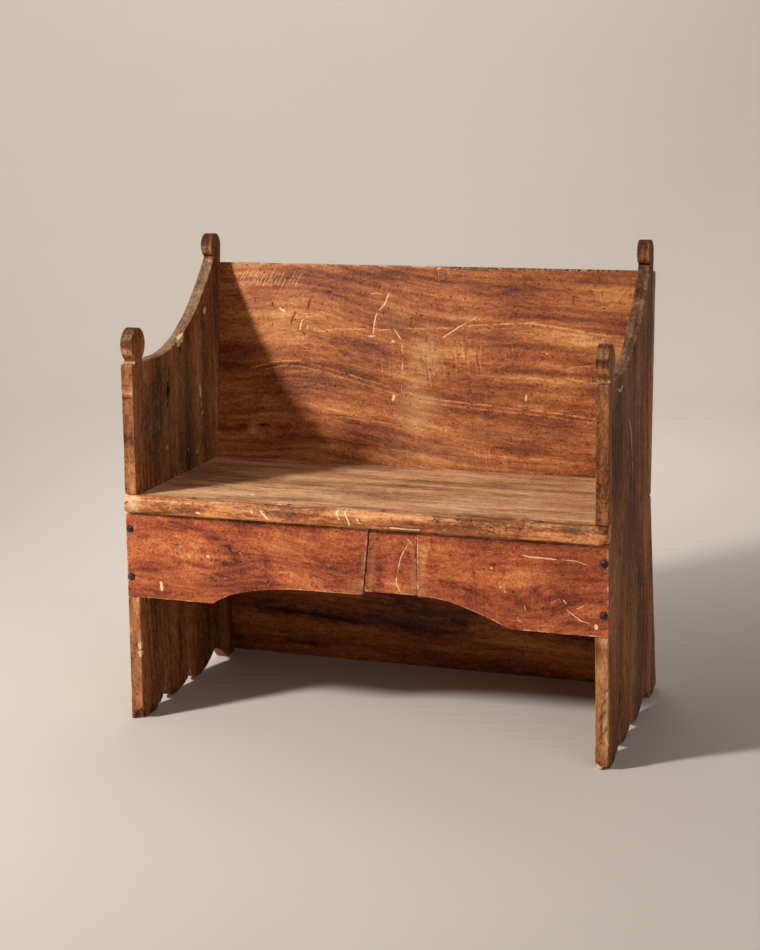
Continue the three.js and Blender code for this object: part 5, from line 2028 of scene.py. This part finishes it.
@dataclass
class Nails:
    """All the forged nails, each kind placed by one Geometry Nodes tree."""

    facets: int = 6
    shoulder: float = 0.8
    crown: float = 0.26
    point: float = 0.35
    sunk: float = 0.5
    hammering: float = 0.9
    dents: float = 260.0

    def wire(self) -> tuple[bpy.types.NodeTree, dict[str, str]]:
        """Wires the tree: one nail of three drums, set on every place and hammered a little.

        Returns:
            The tree, and the identifier of each of its inputs by name.
        """
        group = bpy.data.node_groups.new("forged_nails", "GeometryNodeTree")
        kinds = {
            "Places": "Geometry", "Head Radius": "Float", "Head Rise": "Float", "Shank Length": "Float",
            "Shank Radius": "Float", "Hammering": "Float", "Seed": "Int", "Iron": "Material",
        }
        add = group.interface.new_socket
        sockets = {
            name: add(name, in_out="INPUT", socket_type=f"NodeSocket{kind}").identifier
            for name, kind in kinds.items()
        }
        add("Nails", in_out="OUTPUT", socket_type="NodeSocketGeometry")
        tree = Tree(group)
        node = tree.node
        places = node("NodeGroupInput")
        head, rise, length, radius, hammering, seed, iron = (places.other(key) for key in list(kinds)[1:])
        waist, step, drop = head * self.shoulder, rise * 0.55, rise * -1
        skirt = self.drum(tree, head, waist, step, drop)
        dome = self.drum(tree, waist, head * self.crown, rise * 0.45, drop + step)
        shank = self.drum(tree, radius * self.point, radius, length, drop - length)
        nail = node("GeometryNodeJoinGeometry", Geometry=[shank, dome, skirt])
        dense = node("GeometryNodeSubdivideMesh", Mesh=nail, Level=2)
        facing = node("GeometryNodeInputNamedAttribute", {"data_type": "FLOAT_VECTOR"}, Name="facing")
        upright = node("FunctionNodeAlignRotationToVector", {"axis": "Z"}, Vector=facing)
        settings = {"data_type": "FLOAT"}
        spin = node("FunctionNodeRandomValue", settings, "Value_001", Max_001=FULL_TURN, Seed=seed)
        twist = node("FunctionNodeEulerToRotation", Euler=tree.vector(0, 0, spin))
        settings = {"rotation_space": "LOCAL"}
        turned = node("FunctionNodeRotateRotation", settings, Rotation=upright, Rotate_By=twist)
        placed = node("GeometryNodeInstanceOnPoints", Points=places, Instance=dense, Rotation=turned)
        real = node("GeometryNodeRealizeInstances", Geometry=placed)
        noise = node("ShaderNodeTexNoise", None, "Color", Scale=self.dents, Detail=1)
        settings = {"operation": "SUBTRACT"}
        centred = node("ShaderNodeVectorMath", settings, Vector=noise, Vector_001=(0.5, 0.5, 0.5))
        pushed = node("ShaderNodeVectorMath", {"operation": "SCALE"}, Vector=centred, Scale=hammering)
        hammered = node("GeometryNodeSetPosition", Geometry=real, Offset=pushed)
        tree.end("NodeGroupOutput", node("GeometryNodeSetMaterial", Geometry=hammered, Material=iron))
        return group, sockets

    def drum(self, tree: Tree, base: Signal, top: Signal, depth: Signal, lift: Signal) -> Signal:
        """A closed, tapered drum with flat sides, raised along the nail's axis.

        Args:
            tree: The tree.
            base: Radius below.
            top: Radius above.
            depth: Height.
            lift: Height of its foot.

        Returns:
            The mesh.
        """
        cone = tree.node(
            "GeometryNodeMeshCone", {"fill_type": "NGON"}, "Mesh", Vertices=self.facets, Side_Segments=2,
            Radius_Top=top, Radius_Bottom=base, Depth=depth,
        )
        return tree.node("GeometryNodeTransform", Geometry=cone, Translation=tree.vector(0, 0, lift))

    def build(self) -> None:
        """Builds and dresses every kind of nail."""
        group, sockets = self.wire()
        iron = IronFinish().material()
        for kind in self.kinds():
            axes = [nail_axis(node) for node in kind.nodes]
            peaks = np.array([tuple(peak - self.sunk * MM * facing) for peak, facing in axes])
            seeds = new_piece(f"{kind.name}_places", peaks, [])
            give(seeds, "facing", np.array([tuple(facing) for _, facing in axes]))
            modifier = seeds.modifiers.new("nails", "NODES")
            modifier.node_group = group
            for name, value in (
                ("Head Radius", kind.head * MM), ("Head Rise", kind.rise * MM),
                ("Shank Length", kind.length * MM), ("Shank Radius", kind.shank * MM),
                ("Hammering", self.hammering * MM), ("Seed", kind.seed), ("Iron", iron),
            ):
                modifier[sockets[name]] = value
            bpy.context.view_layer.update()
            evaluated = seeds.evaluated_get(bpy.context.evaluated_depsgraph_get())
            mesh = bpy.data.meshes.new_from_object(evaluated)
            seeds.modifiers.clear()
            bpy.data.objects.remove(seeds)
            mesh.name = kind.name
            piece = bpy.data.objects.new(kind.name, mesh)
            bpy.context.scene.collection.objects.link(piece)
            mesh.shade_flat()
            dress(piece, iron, "forged_iron", *kind.nodes)

    @staticmethod
    def kinds() -> tuple[NailKind, ...]:
        """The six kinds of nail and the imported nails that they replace.

        Returns:
            The kinds.
        """
        sides = ("left", "right")
        apron = tuple(f"{s}_apron_nail_{k}" for s in sides for k in (1, 2))
        ears = tuple(f"{s}_ear_nail" for s in sides)
        housing = tuple(f"{s}_seat_nail_{k}" for s in sides for k in (1, 2))
        seat = tuple(f"seat_top_nail_{k}" for k in range(1, 6))
        back = tuple(f"{s}_upper_back_nail_{k}" for s in sides for k in range(1, 5))
        back += tuple(f"{s}_lower_back_nail_{k}" for s in sides for k in range(1, 4))
        back += tuple(f"seat_rear_nail_{k}" for k in range(1, 4))
        batten = tuple(f"batten_nail_{i}_{j}" for i in range(1, 4) for j in (1, 2))
        return (
            NailKind("apron_nails", apron, 8.4, 3.2, 62, 2.4, 1),
            NailKind("ear_nails", ears, 4.5, 2, 52, 2.2, 2),
            NailKind("housing_nails", housing, 4.5, 2, 66, 2.2, 3),
            NailKind("seat_nails", seat, 4.5, 2, 80, 2.2, 4),
            NailKind("back_nails", back, 7.5, 3.2, 60, 2.4, 5),
            NailKind("batten_nails", batten, 6, 2.6, 36, 1.9, 6),
        )


@dataclass
class Studio:
    """A pale cove, one key light from the front left, soft fill, and the camera.

    A place round the bench is given by its degrees to the bench's left and up, and its distance in metres.
    """

    picture: Place = (760.0, 950.0)
    focal: float = 1796.7
    centre_row: float = 310.0
    yaw: float = 19.034
    pitch: float = 7.198
    roll: float = -0.823
    stand: Spot = (1108.7, -3058.9, 1233.3)
    sensor: float = 36.0
    key_place: Spot = (46.0, 27.5, 4.4)
    key_power: float = 900.0
    key_radius: float = 0.26
    key_cone: float = 62.0
    cove_floor: float = 3.4
    cove_bend: float = 1.5
    cove_height: float = 3.4
    cove_sides: int = 96
    paper: Colour = (0.66, 0.622, 0.573)
    lamp: Colour = (1.0, 0.95, 0.88)
    panels: tuple[tuple, ...] = (("fill", -45.0, 25.0, 2.4, 22.0), ("rim", 165.0, 50.0, 2.2, 14.0))
    panel_distance: float = 3.6
    wash: tuple[Spot, Spot] = ((-0.6, 1.5, 3.1), (-2.5, 4.3, 1.2))
    sky: Colour = (1.0, 0.94, 0.86)
    sky_strength: float = 0.12

    def build(self) -> None:
        """Sets up the camera, the cove and the lights."""
        self.add_camera()
        self.add_cove()
        self.add_lights()

    def add_camera(self) -> None:
        """Stands the camera where the photograph was taken from."""
        yaw, pitch, roll = (math.radians(a) for a in (self.yaw, self.pitch, self.roll))
        level = Matrix(((1, 0, 0), (0, 0, -1), (0, 1, 0)))
        turn, tip, tilt = (
            Matrix.Rotation(angle, 3, axis) for angle, axis in ((-yaw, "Z"), (pitch, "X"), (roll, "Z"))
        )
        rows = tilt @ tip @ level @ turn
        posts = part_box("apron_left")[0].y
        place = Vector(self.stand) * MM + Vector((0, posts, 0))
        facing = Matrix((rows[0], -rows[1], -rows[2])).transposed()
        data = bpy.data.cameras.new("camera")
        camera = bpy.data.objects.new("camera", data)
        camera.matrix_world = Matrix.Translation(place) @ facing.to_4x4()
        data.sensor_fit = "AUTO"
        data.sensor_width = self.sensor
        longer = max(self.picture)
        data.lens = self.focal / longer * self.sensor
        data.shift_y = (self.centre_row - 0.5 * self.picture[1]) / longer
        bpy.context.scene.collection.objects.link(camera)
        bpy.context.scene.camera = camera

    def add_cove(self) -> None:
        """A round floor that turns up into a wall, all of one pale finish."""
        turns = np.linspace(0, QUARTER_TURN, 13)
        inner, bend, sides = self.cove_floor, self.cove_bend, self.cove_sides
        profile = [(r, 0) for r in (0.6, 1.4, 2.4, 3.2)]
        profile += [(inner + bend * math.sin(t), bend * (1 - math.cos(t))) for t in turns]
        profile.append((inner + bend, self.cove_height))
        around = np.arange(sides) / sides * FULL_TURN
        places = [(0, 0, 0)]
        places += [(r * math.cos(a), r * math.sin(a), z) for r, z in profile for a in around]
        faces = [[0, 1 + k, 1 + (k + 1) % sides] for k in range(sides)]
        for ring in range(len(profile) - 1):
            a, b = 1 + ring * sides, 1 + (ring + 1) * sides
            faces += [[a + k, b + k, b + (k + 1) % sides, a + (k + 1) % sides] for k in range(sides)]
        cove = new_piece("studio_cove", np.array(places), faces)
        cove.data.materials.append(PlainFinish("studio_paper", self.paper).material())

    def add_lights(self) -> None:
        """Adds the key, the broad fills, the wash over the wall and a faint sky."""
        middle = (CAD_BOX[0] + CAD_BOX[1]) / 2
        key = bpy.data.lights.new("key", "SPOT")
        key.energy = self.key_power
        key.shadow_soft_size = self.key_radius
        key.spot_size = math.radians(self.key_cone)
        key.spot_blend = 1
        self.hang(key, self.out(middle, *self.key_place), middle)
        for name, azimuth, elevation, size, power in self.panels:
            place = self.out(middle, azimuth, elevation, self.panel_distance)
            self.hang(self.disc(name, size, power), place, middle)
        self.hang(self.disc("wash", 1.8, 100), *(Vector(spot) for spot in self.wash))
        world = bpy.data.worlds.new("studio")
        bpy.context.scene.world = world
        world.use_nodes = True
        sky = world.node_tree.nodes["Background"]
        sky.inputs["Color"].default_value = (*self.sky, 1)
        sky.inputs["Strength"].default_value = self.sky_strength
        bpy.context.scene.view_settings.view_transform = "Standard"

    @staticmethod
    def out(middle: Vector, azimuth: float, elevation: float, distance: float) -> Vector:
        """A place round the bench.

        Args:
            middle: The middle of the bench.
            azimuth: Degrees towards its left.
            elevation: Degrees up.
            distance: Metres away.

        Returns:
            The place.
        """
        turn, rise = math.radians(azimuth), math.radians(elevation)
        level = math.cos(rise)
        return middle + distance * Vector((-math.sin(turn) * level, -math.cos(turn) * level, math.sin(rise)))

    @staticmethod
    def disc(name: str, size: float, power: float) -> bpy.types.Light:
        """A round, soft panel light.

        Args:
            name: Its name.
            size: Its width in metres.
            power: Its watts.

        Returns:
            The light.
        """
        data = bpy.data.lights.new(name, "AREA")
        data.shape = "DISK"
        data.size = size
        data.energy = power
        return data

    def hang(self, data: bpy.types.Light, place: Vector, target: Vector) -> None:
        """Hangs a light at a place and turns it to a target.

        Args:
            data: The light.
            place: Where it hangs.
            target: Where it looks.
        """
        data.color = self.lamp
        light = bpy.data.objects.new(data.name, data)
        turn = (place - target).to_track_quat("Z", "Y").to_matrix().to_4x4()
        light.matrix_world = Matrix.Translation(place) @ turn
        bpy.context.scene.collection.objects.link(light)


def main() -> None:
    """Builds the bench's pieces in order, then the studio."""
    logging.basicConfig(level=logging.INFO, format="%(message)s")
    for assembly in (Studio(), Ends(), Seat(), Apron(), Back(), Nails()):
        log.info("building %s", type(assembly).__name__.lower())
        assembly.build()


if __name__ == "__main__":
    main()
